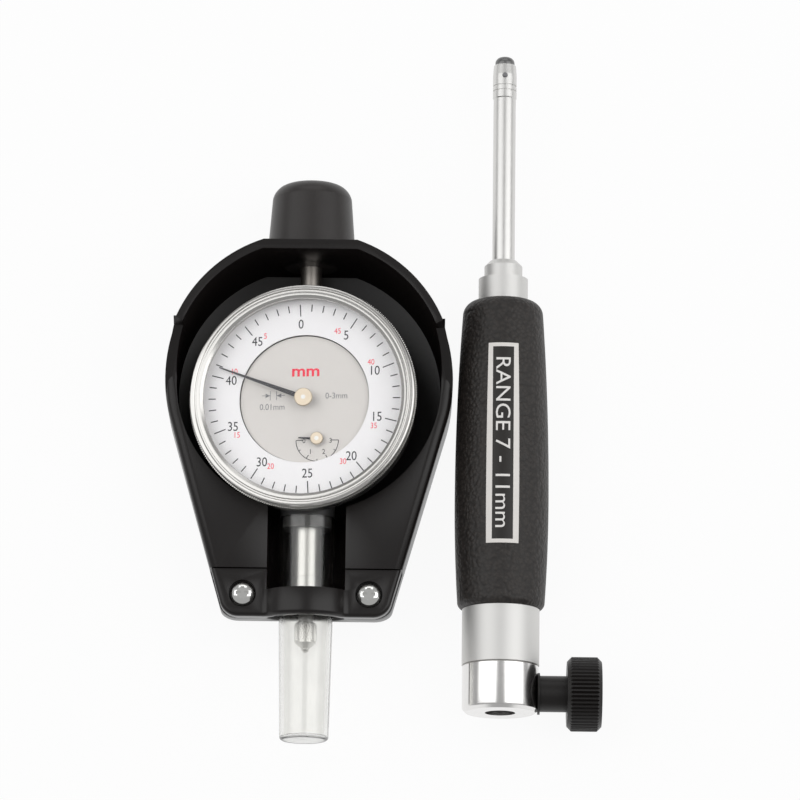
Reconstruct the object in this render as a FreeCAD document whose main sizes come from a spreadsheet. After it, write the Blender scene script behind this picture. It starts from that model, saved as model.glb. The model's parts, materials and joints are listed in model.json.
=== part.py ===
import FreeCAD, Part
import math
import os

import Sketcher
from FreeCAD import Vector

# Dial bore gauge, laid out as its two halves: on the left the dial indicator in its moulded
# shield, with a guard tube over its tip, and on the right the measuring handle.
# Millimetres and degrees. +Z up, the halves lie on z = 0, and +Y runs towards the bore head.

SIZES = {
    # layout
    "axis_spacing": 52.3,
    "guard_drop": 8.0,
    # shield
    "shield_radius": 38.8,
    "shield_centre_y": 5.5,
    "side_slant": 15.7,
    "shield_bottom_reach": 59.2,
    "shield_corner": 5.0,
    "hood_top_reach": 42.2,
    "hood_wall": 3.7,
    "hood_height": 30.0,
    "hood_end_y": 18.8,
    "ramp_end_y": 6.2,
    "ramp_height": 24.5,
    "plate_height": 20.0,
    "plate_bevel": 2.2,
    "pocket_floor": 2.5,
    "pocket_wall": 3.1,
    "pocket_drop": 0.5,
    "stem_height": 12.15,
    "slot_clearance": 0.1,
    # clamp bar across the shield's lower end
    "bar_length": 12.9,
    "bulge_length": 7.3,
    "bulge_wall": 2.4,
    "pad_height": 19.6,
    "bar_gap": 0.3,
    "bar_screw_spread": 16.9,
    "bar_screw_inset": 6.2,
    "screw_head_radius": 3.35,
    "screw_head_height": 2.3,
    "screw_shank_radius": 1.6,
    "screw_length": 14.0,
    "screw_head_sink": 1.5,
    "screw_clearance": 0.3,
    "bar_inset": 0.3,
    "bulge_fillet": 2.5,
    "bar_round": 1.2,
    # cap on the hood
    "cap_base_radius": 12.0,
    "cap_top_radius": 10.8,
    "cap_length": 20.3,
    "cap_edge_round": 4.9,
    "cap_edge_drop": 4.8,
    "cap_crown_radius": 6.2,
    "cap_crown_drop": 0.8,
    "cap_plug_radius": 7.0,
    # indicator case
    "indicator_roll": 7.0,
    "case_radius": 27.0,
    "case_wall": 2.0,
    "case_back_z": -4.8,
    "case_shoulder_z": 7.4,
    "case_web_z": 6.8,
    "case_web_top_z": 8.2,
    "spigot_radius": 26.0,
    "spigot_top_z": 8.9,
    "boss_flange_radius": 7.3,
    "boss_flange_y": 31.2,
    "boss_length": 3.0,
    "back_thickness": 1.6,
    "back_radius": 26.6,
    "back_screw_circle": 23.2,
    "back_screw_radius": 1.7,
    "back_screw_shank": 0.8,
    "back_screw_length": 4.0,
    "back_screw_head": 0.9,
    "pillar_radius": 1.7,
    # stem, spindle and tip
    "stem_radius": 4.0,
    "stem_end_y": 56.0,
    "stem_inner_y": 23.0,
    "stem_ring_y": 47.4,
    "stem_ring_depth": 0.15,
    "stem_ring_width": 0.3,
    "stem_chamfer": 0.4,
    "spindle_radius": 2.0,
    "spindle_top_y": 30.5,
    "spindle_end_y": 59.6,
    "spindle_travel": 3.0,
    "dust_cap_radius": 2.9,
    "dust_cap_top_y": 46.0,
    "dust_cap_wall": 0.7,
    "dust_seat_y": 26.0,
    "dust_collar_radius": 4.2,
    "dust_collar_y": 29.5,
    "tip_stud_radius": 1.2,
    "tip_stud_length": 5.0,
    "tip_body_radius": 2.8,
    "tip_body_length": 5.5,
    "tip_ball_radius": 1.1,
    "tip_cone_length": 2.6,
    # guard tube
    "guard_mouth_radius": 7.8,
    "guard_end_radius": 6.6,
    "guard_wall": 1.15,
    "guard_length": 60.2,
    "guard_end_round": 1.0,
    "guard_fit": 0.02,
    # bezel, crystal and dials
    "bezel_radius": 30.15,
    "knurl_radius": 30.5,
    "bezel_back_z": 7.6,
    "knurl_top_z": 12.4,
    "bezel_front_z": 14.4,
    "bezel_lip_radius": 26.8,
    "bezel_ring_edge": 29.5,
    "ring_seat_z": 9.2,
    "ring_seat_radius": 27.4,
    "crystal_seat_z": 12.2,
    "crystal_radius": 28.0,
    "crystal_thickness": 1.2,
    "running_fit": 0.05,
    "scale_ring_inner": 17.6,
    "scale_ring_thickness": 0.6,
    "dial_disc_radius": 17.4,
    "dial_disc_thickness": 0.6,
    # pointers
    "arbor_radius": 0.6,
    "pointer_z": 10.9,
    "pointer_thickness": 0.3,
    "pointer_length": 24.6,
    "pointer_tail_length": 2.2,
    "pointer_root_width": 1.5,
    "pointer_tip_width": 0.3,
    "pointer_angle": 69.5,
    "hub_radius": 2.45,
    "hub_height": 0.7,
    "small_x": 3.6,
    "small_y": -11.1,
    "small_pointer_z": 9.5,
    "small_pointer_length": 5.0,
    "small_root_width": 0.8,
    "small_hub_radius": 1.7,
    "small_hub_height": 0.7,
    "small_pointer_angle": 86.0,
    # movement plate under the dial
    "bridge_z": 2.4,
    "bridge_thickness": 1.0,
    "bridge_radius": 21.0,
    "bridge_cut_y": 14.0,
    # handle, from its lower end upwards
    "collar_radius": 10.25,
    "collar_length": 12.8,
    "collar_chamfer": 2.2,
    "collar_slit": 1.2,
    "collar_boss_radius": 5.3,
    "collar_boss_reach": 9.9,
    "stem_socket_fit": 0.03,
    "collar_slit_depth": 8.0,
    "collar_spigot_radius": 7.0,
    "collar_spigot_length": 5.0,
    "core_radius": 10.4,
    "sleeve_length": 15.1,
    "core_neck_radius": 8.6,
    "core_bore_radius": 5.0,
    "grip_length": 85.1,
    "grip_belly_radius": 12.67,
    "grip_shoulder_radius": 10.9,
    "grip_heel_radius": 11.75,
    "grip_heel_round": 2.0,
    "grip_shoulder_round": 4.0,
    "grip_belly_y": 30.2,
    "nose_wide_radius": 6.7,
    "nose_wide_length": 6.3,
    "nose_narrow_radius": 5.17,
    "nose_narrow_length": 5.1,
    "nose_chamfer": 1.5,
    "nose_seat_depth": 5.0,
    "nose_plug_length": 12.0,
    "tube_radius": 3.05,
    "tube_wall": 0.9,
    "tube_exposed": 45.9,
    "tube_insert": 14.0,
    "label_width": 8.85,
    "label_length": 55.1,
    "label_lower_y": 43.6,
    "label_thickness": 0.5,
    "label_gap": 0.05,
    "label_glue": 0.02,
    # bore head
    "head_radius": 3.25,
    "head_end_radius": 3.05,
    "head_length": 9.7,
    "head_plug_radius": 2.65,
    "head_plug_length": 2.3,
    "head_plug_insert": 2.0,
    "head_groove_depth": 0.25,
    "head_groove_width": 0.5,
    "head_bore_radius": 1.6,
    "contact_radius": 0.7,
    "contact_y": 6.2,
    "contact_travel": 0.8,
    "contact_stand": 0.35,
    "rod_radius": 1.25,
    "rod_wedge_gap": 0.05,
    "rod_guide_y": 60.0,
    "rod_guide_length": 8.0,
    "rod_foot_y": 35.0,
    "rod_foot_radius": 2.4,
    "rod_foot_length": 4.0,
    "rod_spring_length": 10.0,
    # lock knob
    "knob_axis_y": 5.3,
    "knob_radius": 9.95,
    "knob_width": 9.25,
    "knob_reach": 27.05,
    "knob_chamfer": 1.2,
    "knob_shank_radius": 4.85,
    "rib_count": 56,
    "rib_depth": 0.45,
    "rib_width": 0.75,
    "lock_screw_radius": 1.9,
    "lock_screw_fit": 0.05,
    "lock_screw_insert": 8.0,
    "washer_radius": 5.6,
    "washer_thickness": 0.6,
    "washer_gap": 0.05,
}


class Size:
    """A length or angle that knows its number and its spreadsheet expression."""

    def __init__(self, value, text):
        self.value = float(value)
        self.text = text

    def __add__(self, other):
        other = term(other)
        return Size(self.value + other.value, f"({self.text} + {other.text})")

    def __sub__(self, other):
        other = term(other)
        return Size(self.value - other.value, f"({self.text} - {other.text})")

    def __mul__(self, other):
        other = term(other)
        return Size(self.value * other.value, f"({self.text} * {other.text})")

    def __truediv__(self, other):
        other = term(other)
        return Size(self.value / other.value, f"({self.text} / {other.text})")

    def __neg__(self):
        return Size(-self.value, f"(0 - {self.text})")

    def __radd__(self, other):
        return term(other) + self

    def __rsub__(self, other):
        return term(other) - self

    def __rmul__(self, other):
        return term(other) * self

    def __rtruediv__(self, other):
        return term(other) / self


def term(number):
    if isinstance(number, Size):
        return number
    return Size(number, repr(float(number)))


def root(size):
    return Size(math.sqrt(size.value), f"sqrt({size.text})")


def sine(angle):
    return Size(math.sin(math.radians(angle.value)), f"sin({angle.text})")


def arcsine(size):
    return Size(math.degrees(math.asin(size.value)), f"asin({size.text})")


def cosine(angle):
    return Size(math.cos(math.radians(angle.value)), f"cos({angle.text})")


doc = FreeCAD.newDocument("DialBoreGauge")
sheet = doc.addObject("Spreadsheet::Sheet", "Sizes")
for row, (alias, number) in enumerate(SIZES.items(), start=1):
    sheet.set(f"A{row}", str(number))
    sheet.setAlias(f"A{row}", alias)
doc.recompute()


class Named:
    """Every driving size by name, as a Size."""


s = Named()
for alias, number in SIZES.items():
    setattr(s, alias, Size(number, f"Sizes.{alias}"))

ZERO = term(0)
PARTS = []


# ---------------------------------------------------------------- shared modelling helpers

def bind(thing, prop, size):
    """Sets a property to a size, and to its expression where it depends on the sheet."""
    size = term(size)
    setattr(thing, prop, size.value)
    if "Sizes." in size.text:
        thing.setExpression(prop, size.text)


def place(thing, x=0, y=0, z=0, axis=(0, 1, 0), angle=0):
    x, y, z, angle = term(x), term(y), term(z), term(angle)
    rotation = FreeCAD.Rotation(Vector(*axis), angle.value)
    thing.Placement = FreeCAD.Placement(Vector(x.value, y.value, z.value), rotation)
    for prop, size in (("Base.x", x), ("Base.y", y), ("Base.z", z), ("Rotation.Angle", angle)):
        if "Sizes." in size.text:
            thing.setExpression(f".Placement.{prop}", size.text)


def origin_part(body, role):
    return next(part for part in body.Origin.OriginFeatures if part.Role == role)


def new_body(label):
    body = doc.addObject("PartDesign::Body", label)
    body.Label = label
    PARTS.append(body)
    return body


def new_sketch(body, name, plane="XY_Plane", offset=None):
    sketch = body.newObject("Sketcher::SketchObject", name)
    sketch.AttachmentSupport = [(origin_part(body, plane), "")]
    sketch.MapMode = "FlatFace"
    if offset is not None:
        offset = term(offset)
        sketch.AttachmentOffset = FreeCAD.Placement(Vector(0, 0, offset.value), FreeCAD.Rotation())
        if "Sizes." in offset.text:
            sketch.setExpression(".AttachmentOffset.Base.z", offset.text)
    return sketch


def pin_point(sketch, geometry, vertex, x, y):
    """Holds one sketch point at x, y from the sketch's origin."""
    for kind, size in (("DistanceX", term(x)), ("DistanceY", term(y))):
        index = sketch.addConstraint(Sketcher.Constraint(kind, -1, 1, geometry, vertex, size.value))
        if "Sizes." in size.text:
            sketch.setExpression(f"Constraints[{index}]", size.text)


def curve(x, y, radius, mid_x, mid_y):
    """A profile point reached by an arc of this radius, bulging through about mid_x, mid_y."""
    return (x, y, radius, term(mid_x).value, term(mid_y).value)


def rounded(x, y, radius, coming, going):
    """The two profile points of a square corner at x, y, rounded to this radius."""
    inset = 1 - math.sqrt(0.5)
    start = (x - coming[0] * radius, y - coming[1] * radius)
    middle = [term(x).value, term(y).value]
    for i in (0, 1):
        middle[i] += (going[i] - coming[i]) * term(radius).value * inset
    end = curve(x + going[0] * radius, y + going[1] * radius, radius, *middle)
    return [start, end]


def closed_profile(sketch, points):
    """Draws a closed outline of lines and arcs, with every corner pinned to its sizes."""
    count = len(points)
    first = sketch.GeometryCount
    ends = []
    for i, point in enumerate(points):
        before = points[i - 1]
        a = Vector(term(before[0]).value, term(before[1]).value, 0)
        b = Vector(term(point[0]).value, term(point[1]).value, 0)
        if len(point) == 2:
            sketch.addGeometry(Part.LineSegment(a, b), False)
            ends.append((1, 2))
        else:
            middle = Vector(point[3], point[4], 0)
            sketch.addGeometry(Part.Arc(a, middle, b), False)
            forward = (sketch.getPoint(first + i, 1) - a).Length < 1e-6
            ends.append((1, 2) if forward else (2, 1))
    for i, point in enumerate(points):
        following = (i + 1) % count
        joint = Sketcher.Constraint(
            "Coincident", first + i, ends[i][1], first + following, ends[following][0])
        sketch.addConstraint(joint)
        pin_point(sketch, first + i, ends[i][1], point[0], point[1])
        if len(point) > 2:
            radius = term(point[2])
            index = sketch.addConstraint(Sketcher.Constraint("Radius", first + i, radius.value))
            if "Sizes." in radius.text:
                sketch.setExpression(f"Constraints[{index}]", radius.text)


def circle(sketch, x, y, radius):
    radius = term(radius)
    centre = Vector(term(x).value, term(y).value, 0)
    index = sketch.GeometryCount
    sketch.addGeometry(Part.Circle(centre, Vector(0, 0, 1), radius.value), False)
    pin_point(sketch, index, 3, x, y)
    held = sketch.addConstraint(Sketcher.Constraint("Radius", index, radius.value))
    if "Sizes." in radius.text:
        sketch.setExpression(f"Constraints[{held}]", radius.text)


def rectangle(x0, x1, y0, y1):
    return [(x0, y0), (x1, y0), (x1, y1), (x0, y1)]


def pad(body, sketch, length, name):
    feature = body.newObject("PartDesign::Pad", name)
    feature.Profile = sketch
    bind(feature, "Length", length)
    doc.recompute()
    return feature


def cut(body, sketch, depth, name, upwards=True):
    """Pockets the sketch upwards (along its normal) or downwards, and insists that it cut."""
    before = body.Shape.Volume
    feature = body.newObject("PartDesign::Pocket", name)
    feature.Profile = sketch
    bind(feature, "Length", depth)
    feature.Reversed = upwards
    doc.recompute()
    if not body.Shape.Volume < before:
        raise RuntimeError(f"{body.Label}: pocket {name} cut nothing")
    return feature


def cut_both_ways(body, sketch, length, name):
    before = body.Shape.Volume
    feature = body.newObject("PartDesign::Pocket", name)
    feature.Profile = sketch
    bind(feature, "Length", length)
    feature.Midplane = True
    doc.recompute()
    if not body.Shape.Volume < before:
        raise RuntimeError(f"{body.Label}: pocket {name} cut nothing")
    return feature


def sweep_angle(feature, sector):
    """A full turn, or a sector to both sides of the sketch."""
    if sector is None:
        feature.Angle = 360
    else:
        feature.Midplane = True
        bind(feature, "Angle", sector)


def revolve(body, points, name, axis="V_Axis", plane="XY_Plane", sector=None):
    """Turns a closed profile: first coordinate along the sketch's x, second along its y."""
    sketch = new_sketch(body, name + "_profile", plane)
    closed_profile(sketch, points)
    feature = body.newObject("PartDesign::Revolution", name)
    feature.Profile = sketch
    feature.ReferenceAxis = (sketch, [axis])
    sweep_angle(feature, sector)
    doc.recompute()
    return feature


def groove(body, points, name, axis="V_Axis", plane="XY_Plane", sector=None):
    before = body.Shape.Volume
    sketch = new_sketch(body, name + "_profile", plane)
    closed_profile(sketch, points)
    feature = body.newObject("PartDesign::Groove", name)
    feature.Profile = sketch
    feature.ReferenceAxis = (sketch, [axis])
    sweep_angle(feature, sector)
    doc.recompute()
    if not body.Shape.Volume < before:
        raise RuntimeError(f"{body.Label}: groove {name} cut nothing")
    return feature


def edges_where(shape, test):
    return [f"Edge{i}" for i, edge in enumerate(shape.Edges, start=1) if test(edge)]


def dress(body, kind, edges, prop, size, name):
    """Adds a Fillet or Chamfer on the named edges of the body's tip."""
    feature = body.newObject(f"PartDesign::{kind}", name)
    feature.Base = (body.Tip if body.Tip is not feature else feature.BaseFeature, edges)
    bind(feature, prop, size)
    doc.recompute()
    return feature


# ---------------------------------------------------------------- where each group stands

HANDLE_LENGTH = (s.collar_length + s.sleeve_length + s.grip_length + s.nose_wide_length
                 + s.nose_narrow_length + s.tube_exposed + s.head_length + s.head_plug_length)
OVERALL_LENGTH = HANDLE_LENGTH + s.guard_drop
OVERALL_WIDTH = s.shield_radius + s.axis_spacing + s.knob_reach
DIAL_X = s.shield_radius - OVERALL_WIDTH / 2
DIAL_Y = s.boss_flange_y + s.guard_length - OVERALL_LENGTH / 2
HANDLE_X = DIAL_X + s.axis_spacing
HANDLE_Y = s.guard_drop - OVERALL_LENGTH / 2
HANDLE_Z = s.grip_belly_radius


def on_indicator(body):
    place(body, DIAL_X, DIAL_Y, s.stem_height, (0, 1, 0), -s.indicator_roll)


def on_handle(body):
    place(body, HANDLE_X, HANDLE_Y, HANDLE_Z)


# ---------------------------------------------------------------- shield

BORE = s.core_radius + s.slot_clearance
SHIELD_BOTTOM = -s.shield_bottom_reach
SIDE_X = s.shield_radius * cosine(s.side_slant)
SIDE_Y = s.shield_centre_y - s.shield_radius * sine(s.side_slant)
SCREW_Y = SHIELD_BOTTOM + s.bar_screw_inset
BAR_TOP = SHIELD_BOTTOM + s.bar_length
BULGE_TOP = SHIELD_BOTTOM + s.bulge_length


def level(z):
    """A height above the floor, in the shield's own frame, whose origin is on the stem's axis."""
    return z - s.stem_height


def on_shield(body):
    place(body, DIAL_X, DIAL_Y, s.stem_height)


def side_x(y):
    """Half the shield's width at y, on its straight slanted sides."""
    return SIDE_X - (SIDE_Y - y) * sine(s.side_slant) / cosine(s.side_slant)


def rim_x(y):
    """Half the shield's width at y, on its round top."""
    rise = y - s.shield_centre_y
    return root(s.shield_radius * s.shield_radius - rise * rise)


def rim_arc(start_y, x, y, side):
    """A profile point reached along the round top from height start_y."""
    start = math.atan2(term(start_y).value - s.shield_centre_y.value, rim_x(term(start_y)).value)
    end = math.atan2(term(y).value - s.shield_centre_y.value, abs(term(x).value))
    middle = (start + end) / 2
    reach = s.shield_radius.value
    return curve(x, y, s.shield_radius, side * reach * math.cos(middle),
                 s.shield_centre_y.value + reach * math.sin(middle))


def lower_corners(inset):
    """The rounded bottom corners, right then left, of an outline inset from the shield's."""
    turn = (90 - s.side_slant) / 2
    reach = s.shield_corner * sine(turn) / cosine(turn)
    corner_x = side_x(SHIELD_BOTTOM) - inset
    side_start = (corner_x + reach * sine(s.side_slant), SHIELD_BOTTOM + reach * cosine(s.side_slant))
    flat_end = (corner_x - reach, SHIELD_BOTTOM)
    centre = (flat_end[0].value, flat_end[1].value + s.shield_corner.value)
    away = math.hypot(corner_x.value - centre[0], SHIELD_BOTTOM.value - centre[1])
    share = s.shield_corner.value / away
    middle_x = centre[0] + (corner_x.value - centre[0]) * share
    middle_y = centre[1] + (SHIELD_BOTTOM.value - centre[1]) * share
    return [
        side_start,
        curve(flat_end[0], flat_end[1], s.shield_corner, middle_x, middle_y),
        (-flat_end[0], flat_end[1]),
        curve(-side_start[0], side_start[1], s.shield_corner, -middle_x, middle_y),
    ]


def shield_housing():
    body = new_body("shield_housing")
    flat_x = rim_x(s.hood_top_reach)
    outline = new_sketch(body, "Outline", offset=level(0))
    closed_profile(outline, [
        (flat_x, s.hood_top_reach),
        rim_arc(s.hood_top_reach, SIDE_X, SIDE_Y, 1),
        *lower_corners(ZERO),
        (-SIDE_X, SIDE_Y),
        rim_arc(SIDE_Y, -flat_x, s.hood_top_reach, -1),
    ])
    pad(body, outline, s.plate_height, "Tray")

    hood_x = rim_x(s.hood_end_y)
    hood = new_sketch(body, "HoodOutline", offset=level(s.plate_height) - s.plate_bevel)
    closed_profile(hood, [
        (flat_x, s.hood_top_reach),
        rim_arc(s.hood_top_reach, hood_x, s.hood_end_y, 1),
        (-hood_x, s.hood_end_y),
        rim_arc(s.hood_end_y, -flat_x, s.hood_top_reach, -1),
    ])
    pad(body, hood, s.hood_height - s.plate_height + s.plate_bevel, "Hood")

    ramp_x = rim_x(s.ramp_end_y)
    ramp = new_sketch(body, "RampOutline", offset=level(s.plate_height) - s.plate_bevel)
    closed_profile(ramp, [
        (hood_x, s.hood_end_y),
        rim_arc(s.hood_end_y, ramp_x, s.ramp_end_y, 1),
        (-ramp_x, s.ramp_end_y),
        rim_arc(s.ramp_end_y, -hood_x, s.hood_end_y, -1),
    ])
    pad(body, ramp, s.ramp_height - s.plate_height + s.plate_bevel, "Ramp")
    slope = new_sketch(body, "RampSlope", "YZ_Plane")
    closed_profile(slope, [
        (s.ramp_end_y, level(s.plate_height)),
        (s.hood_end_y, level(s.ramp_height)),
        (s.ramp_end_y, level(s.ramp_height)),
    ])
    cut_both_ways(body, slope, s.shield_radius * 2, "RampCut")

    pocket_y = s.shield_centre_y - s.pocket_drop
    pocket_radius = s.shield_radius - s.pocket_wall
    inner_top = s.hood_top_reach - s.hood_wall
    inner_x = root(pocket_radius * pocket_radius - (inner_top - pocket_y) * (inner_top - pocket_y))
    pocket = new_sketch(body, "DialPocketOutline", offset=level(s.pocket_floor))
    closed_profile(pocket, [
        (-inner_x, inner_top),
        curve(inner_x, inner_top, pocket_radius, 0, pocket_y - pocket_radius),
    ])
    cut(body, pocket, s.hood_height, "DialPocket")

    slot = new_sketch(body, "StemSlotOutline")
    inside_pocket = -s.case_radius
    closed_profile(slot, rectangle(-BORE, BORE, SHIELD_BOTTOM - 1, inside_pocket))
    cut(body, slot, s.plate_height, "StemSlot")
    groove(body, [(ZERO, SHIELD_BOTTOM - 1), (BORE, SHIELD_BOTTOM - 1), (BORE, inside_pocket),
                  (ZERO, inside_pocket)], "ClampBore")

    seat = new_sketch(body, "BarSeatOutline")
    closed_profile(seat, rectangle(-s.shield_radius, s.shield_radius, SHIELD_BOTTOM - 1,
                                   BAR_TOP + s.bar_gap))
    cut(body, seat, s.plate_height, "BarSeat")
    holes = new_sketch(body, "ScrewHoleCircles")
    for side in (-1, 1):
        circle(holes, side * s.bar_screw_spread, SCREW_Y, s.screw_shank_radius)
    bite = s.screw_length - (level(s.pad_height) - s.screw_head_sink)
    cut(body, holes, bite + s.screw_clearance, "ScrewHoles", upwards=False)

    opening = new_sketch(body, "CapHoleCircle", "XZ_Plane", offset=-s.hood_top_reach)
    circle(opening, ZERO, ZERO, s.cap_plug_radius)
    cut(body, opening, s.hood_wall + 1, "CapHole")

    top = level(s.plate_height).value
    sides = edges_where(body.Shape, lambda edge: all(
        abs(v.Z - top) < 1e-4 and v.Y < SIDE_Y.value + 1e-3 and abs(v.X) > side_x(term(v.Y)).value - 1e-3
        for v in edge.Vertexes))
    dress(body, "Fillet", sides, "Radius", s.plate_bevel, "PlateEdges")
    on_shield(body)


def clamp_bar():
    """The loose half of the shield's clamp: two screwed pads joined by a bridge over the bore."""
    body = new_body("clamp_bar")
    bulge = BORE + s.bulge_wall
    arch = revolve(body, [(ZERO, SHIELD_BOTTOM), (bulge, SHIELD_BOTTOM), (bulge, BULGE_TOP),
                          (ZERO, BULGE_TOP)], "Bridge")
    inset = s.bar_inset
    outline = new_sketch(body, "PadOutline")
    closed_profile(outline, [
        (side_x(BAR_TOP) - inset, BAR_TOP),
        *lower_corners(inset),
        (-side_x(BAR_TOP) + inset, BAR_TOP),
    ])
    pad(body, outline, level(s.pad_height), "Pads")
    top = level(s.pad_height).value
    feet = edges_where(body.Shape, lambda edge: all(
        abs(v.Z - top) < 1e-4 and abs(v.X) < bulge.value for v in edge.Vertexes)
        and abs(edge.Vertexes[0].X - edge.Vertexes[-1].X) < 1e-4)
    dress(body, "Fillet", feet, "Radius", s.bulge_fillet, "BridgeFeet")
    slot = new_sketch(body, "SlotOutline")
    closed_profile(slot, rectangle(-BORE, BORE, BULGE_TOP, BAR_TOP + 1))
    cut(body, slot, s.hood_height, "Slot")
    groove(body, [(ZERO, SHIELD_BOTTOM - 1), (BORE, SHIELD_BOTTOM - 1), (BORE, BAR_TOP + 1),
                  (ZERO, BAR_TOP + 1)], "ClampBore")
    under = new_sketch(body, "UndersideOutline")
    closed_profile(under, rectangle(-s.shield_radius, s.shield_radius, SHIELD_BOTTOM - 1, BAR_TOP + 1))
    cut(body, under, s.shield_radius, "Underside", upwards=False)
    shanks = new_sketch(body, "ScrewHoleCircles")
    seats = new_sketch(body, "ScrewSeatCircles", offset=level(s.pad_height) - s.screw_head_sink)
    for side in (-1, 1):
        circle(shanks, side * s.bar_screw_spread, SCREW_Y, s.screw_shank_radius + s.running_fit)
        circle(seats, side * s.bar_screw_spread, SCREW_Y, s.screw_head_radius + s.screw_clearance)
    cut(body, shanks, s.plate_height, "ScrewHoles")
    cut(body, seats, s.plate_height, "ScrewSeats")
    rim = edges_where(body.Shape, lambda edge: all(
        abs(v.Z - top) < 1e-4 and abs(v.X) > side_x(term(v.Y)).value - inset.value - 1e-3
        for v in edge.Vertexes))
    dress(body, "Fillet", rim, "Radius", s.bar_round, "PadEdges")
    on_shield(body)


def pan_head(radius, height, flat):
    """The outer profile of a pan head from its rim to its crown, on the screw's axis."""
    return [(radius, ZERO), (radius, height * 0.3),
            curve(radius * flat, height, radius, radius.value * 0.9, height.value * 0.8),
            (ZERO, height)]


def clamp_screws():
    """Both clamp bar screws, turned from one profile and joined in one compound node."""
    screws = []
    for side, label in ((-1, "left_screw"), (1, "right_screw")):
        screw = doc.addObject("PartDesign::Body", label)
        revolve(screw, [
            (ZERO, -s.screw_length),
            (s.screw_shank_radius, -s.screw_length),
            (s.screw_shank_radius, ZERO),
            *pan_head(s.screw_head_radius, s.screw_head_height, 0.45),
        ], "Turned", plane="XZ_Plane")
        cross = new_sketch(screw, "CrossOutline", offset=s.screw_head_height)
        arm = s.screw_head_radius * 0.52
        wing = s.screw_head_radius * 0.14
        closed_profile(cross, [
            (arm, -wing), (arm, wing), (wing, wing), (wing, arm), (-wing, arm), (-wing, wing),
            (-arm, wing), (-arm, -wing), (-wing, -wing), (-wing, -arm), (wing, -arm), (wing, -wing),
        ])
        cut(screw, cross, s.screw_head_height * 0.6, "Cross", upwards=False)
        place(screw, DIAL_X + side * s.bar_screw_spread, DIAL_Y + SCREW_Y,
              s.pad_height - s.screw_head_sink)
        screws.append(screw)
    pair = doc.addObject("Part::Compound", "clamp_screws")
    pair.Links = screws
    pair.Label = "clamp_screws"
    PARTS.append(pair)


def top_cap():
    """The moulded cap pressed into the hood, over the end of the indicator's dust cap."""
    body = new_body("top_cap")
    base = s.hood_top_reach
    top = base + s.cap_length
    crown = s.cap_crown_radius
    drop = s.cap_crown_drop
    sphere = (crown * crown + drop * drop) / (drop * 2)
    revolve(body, [
        (ZERO, base - s.hood_wall),
        (s.cap_plug_radius, base - s.hood_wall),
        (s.cap_plug_radius, base),
        (s.cap_base_radius, base),
        (s.cap_top_radius, top - s.cap_edge_drop),
        curve(crown, top - drop, s.cap_edge_round,
              s.cap_top_radius - 1.6, top - s.cap_edge_drop * 0.42),
        curve(ZERO, top, sphere, crown * 0.5, top - drop * 0.25),
    ], "Turned")
    socket = s.dust_cap_radius + s.running_fit
    depth = s.dust_cap_top_y + 1
    groove(body, [(ZERO, base - s.hood_wall - 1), (socket, base - s.hood_wall - 1),
                  (socket, depth), (ZERO, depth)], "DustCapSocket")
    on_shield(body)


def guard_inner(y):
    """The guard tube's inner radius at a distance y below the dial's centre."""
    along = (y - s.boss_flange_y) / s.guard_length
    return s.guard_mouth_radius - s.guard_wall - (s.guard_mouth_radius - s.guard_end_radius) * along


def tip_guard():
    """The clear tube pushed over the stem's boss, closed at its far end."""
    body = new_body("tip_guard")
    mouth = -s.boss_flange_y
    end = mouth - s.guard_length
    floor = end + s.guard_wall
    low = s.guard_end_radius
    revolve(body, [
        (guard_inner(s.boss_flange_y), mouth),
        (guard_inner(s.boss_flange_y + s.guard_length - s.guard_wall), floor),
        (ZERO, floor),
        (ZERO, end),
        (low - s.guard_end_round, end),
        curve(low, end + s.guard_end_round, s.guard_end_round,
              low - s.guard_end_round * 0.29, end + s.guard_end_round * 0.29),
        (s.guard_mouth_radius, mouth),
    ], "Turned")
    on_indicator(body)


# ---------------------------------------------------------------- indicator

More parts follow.
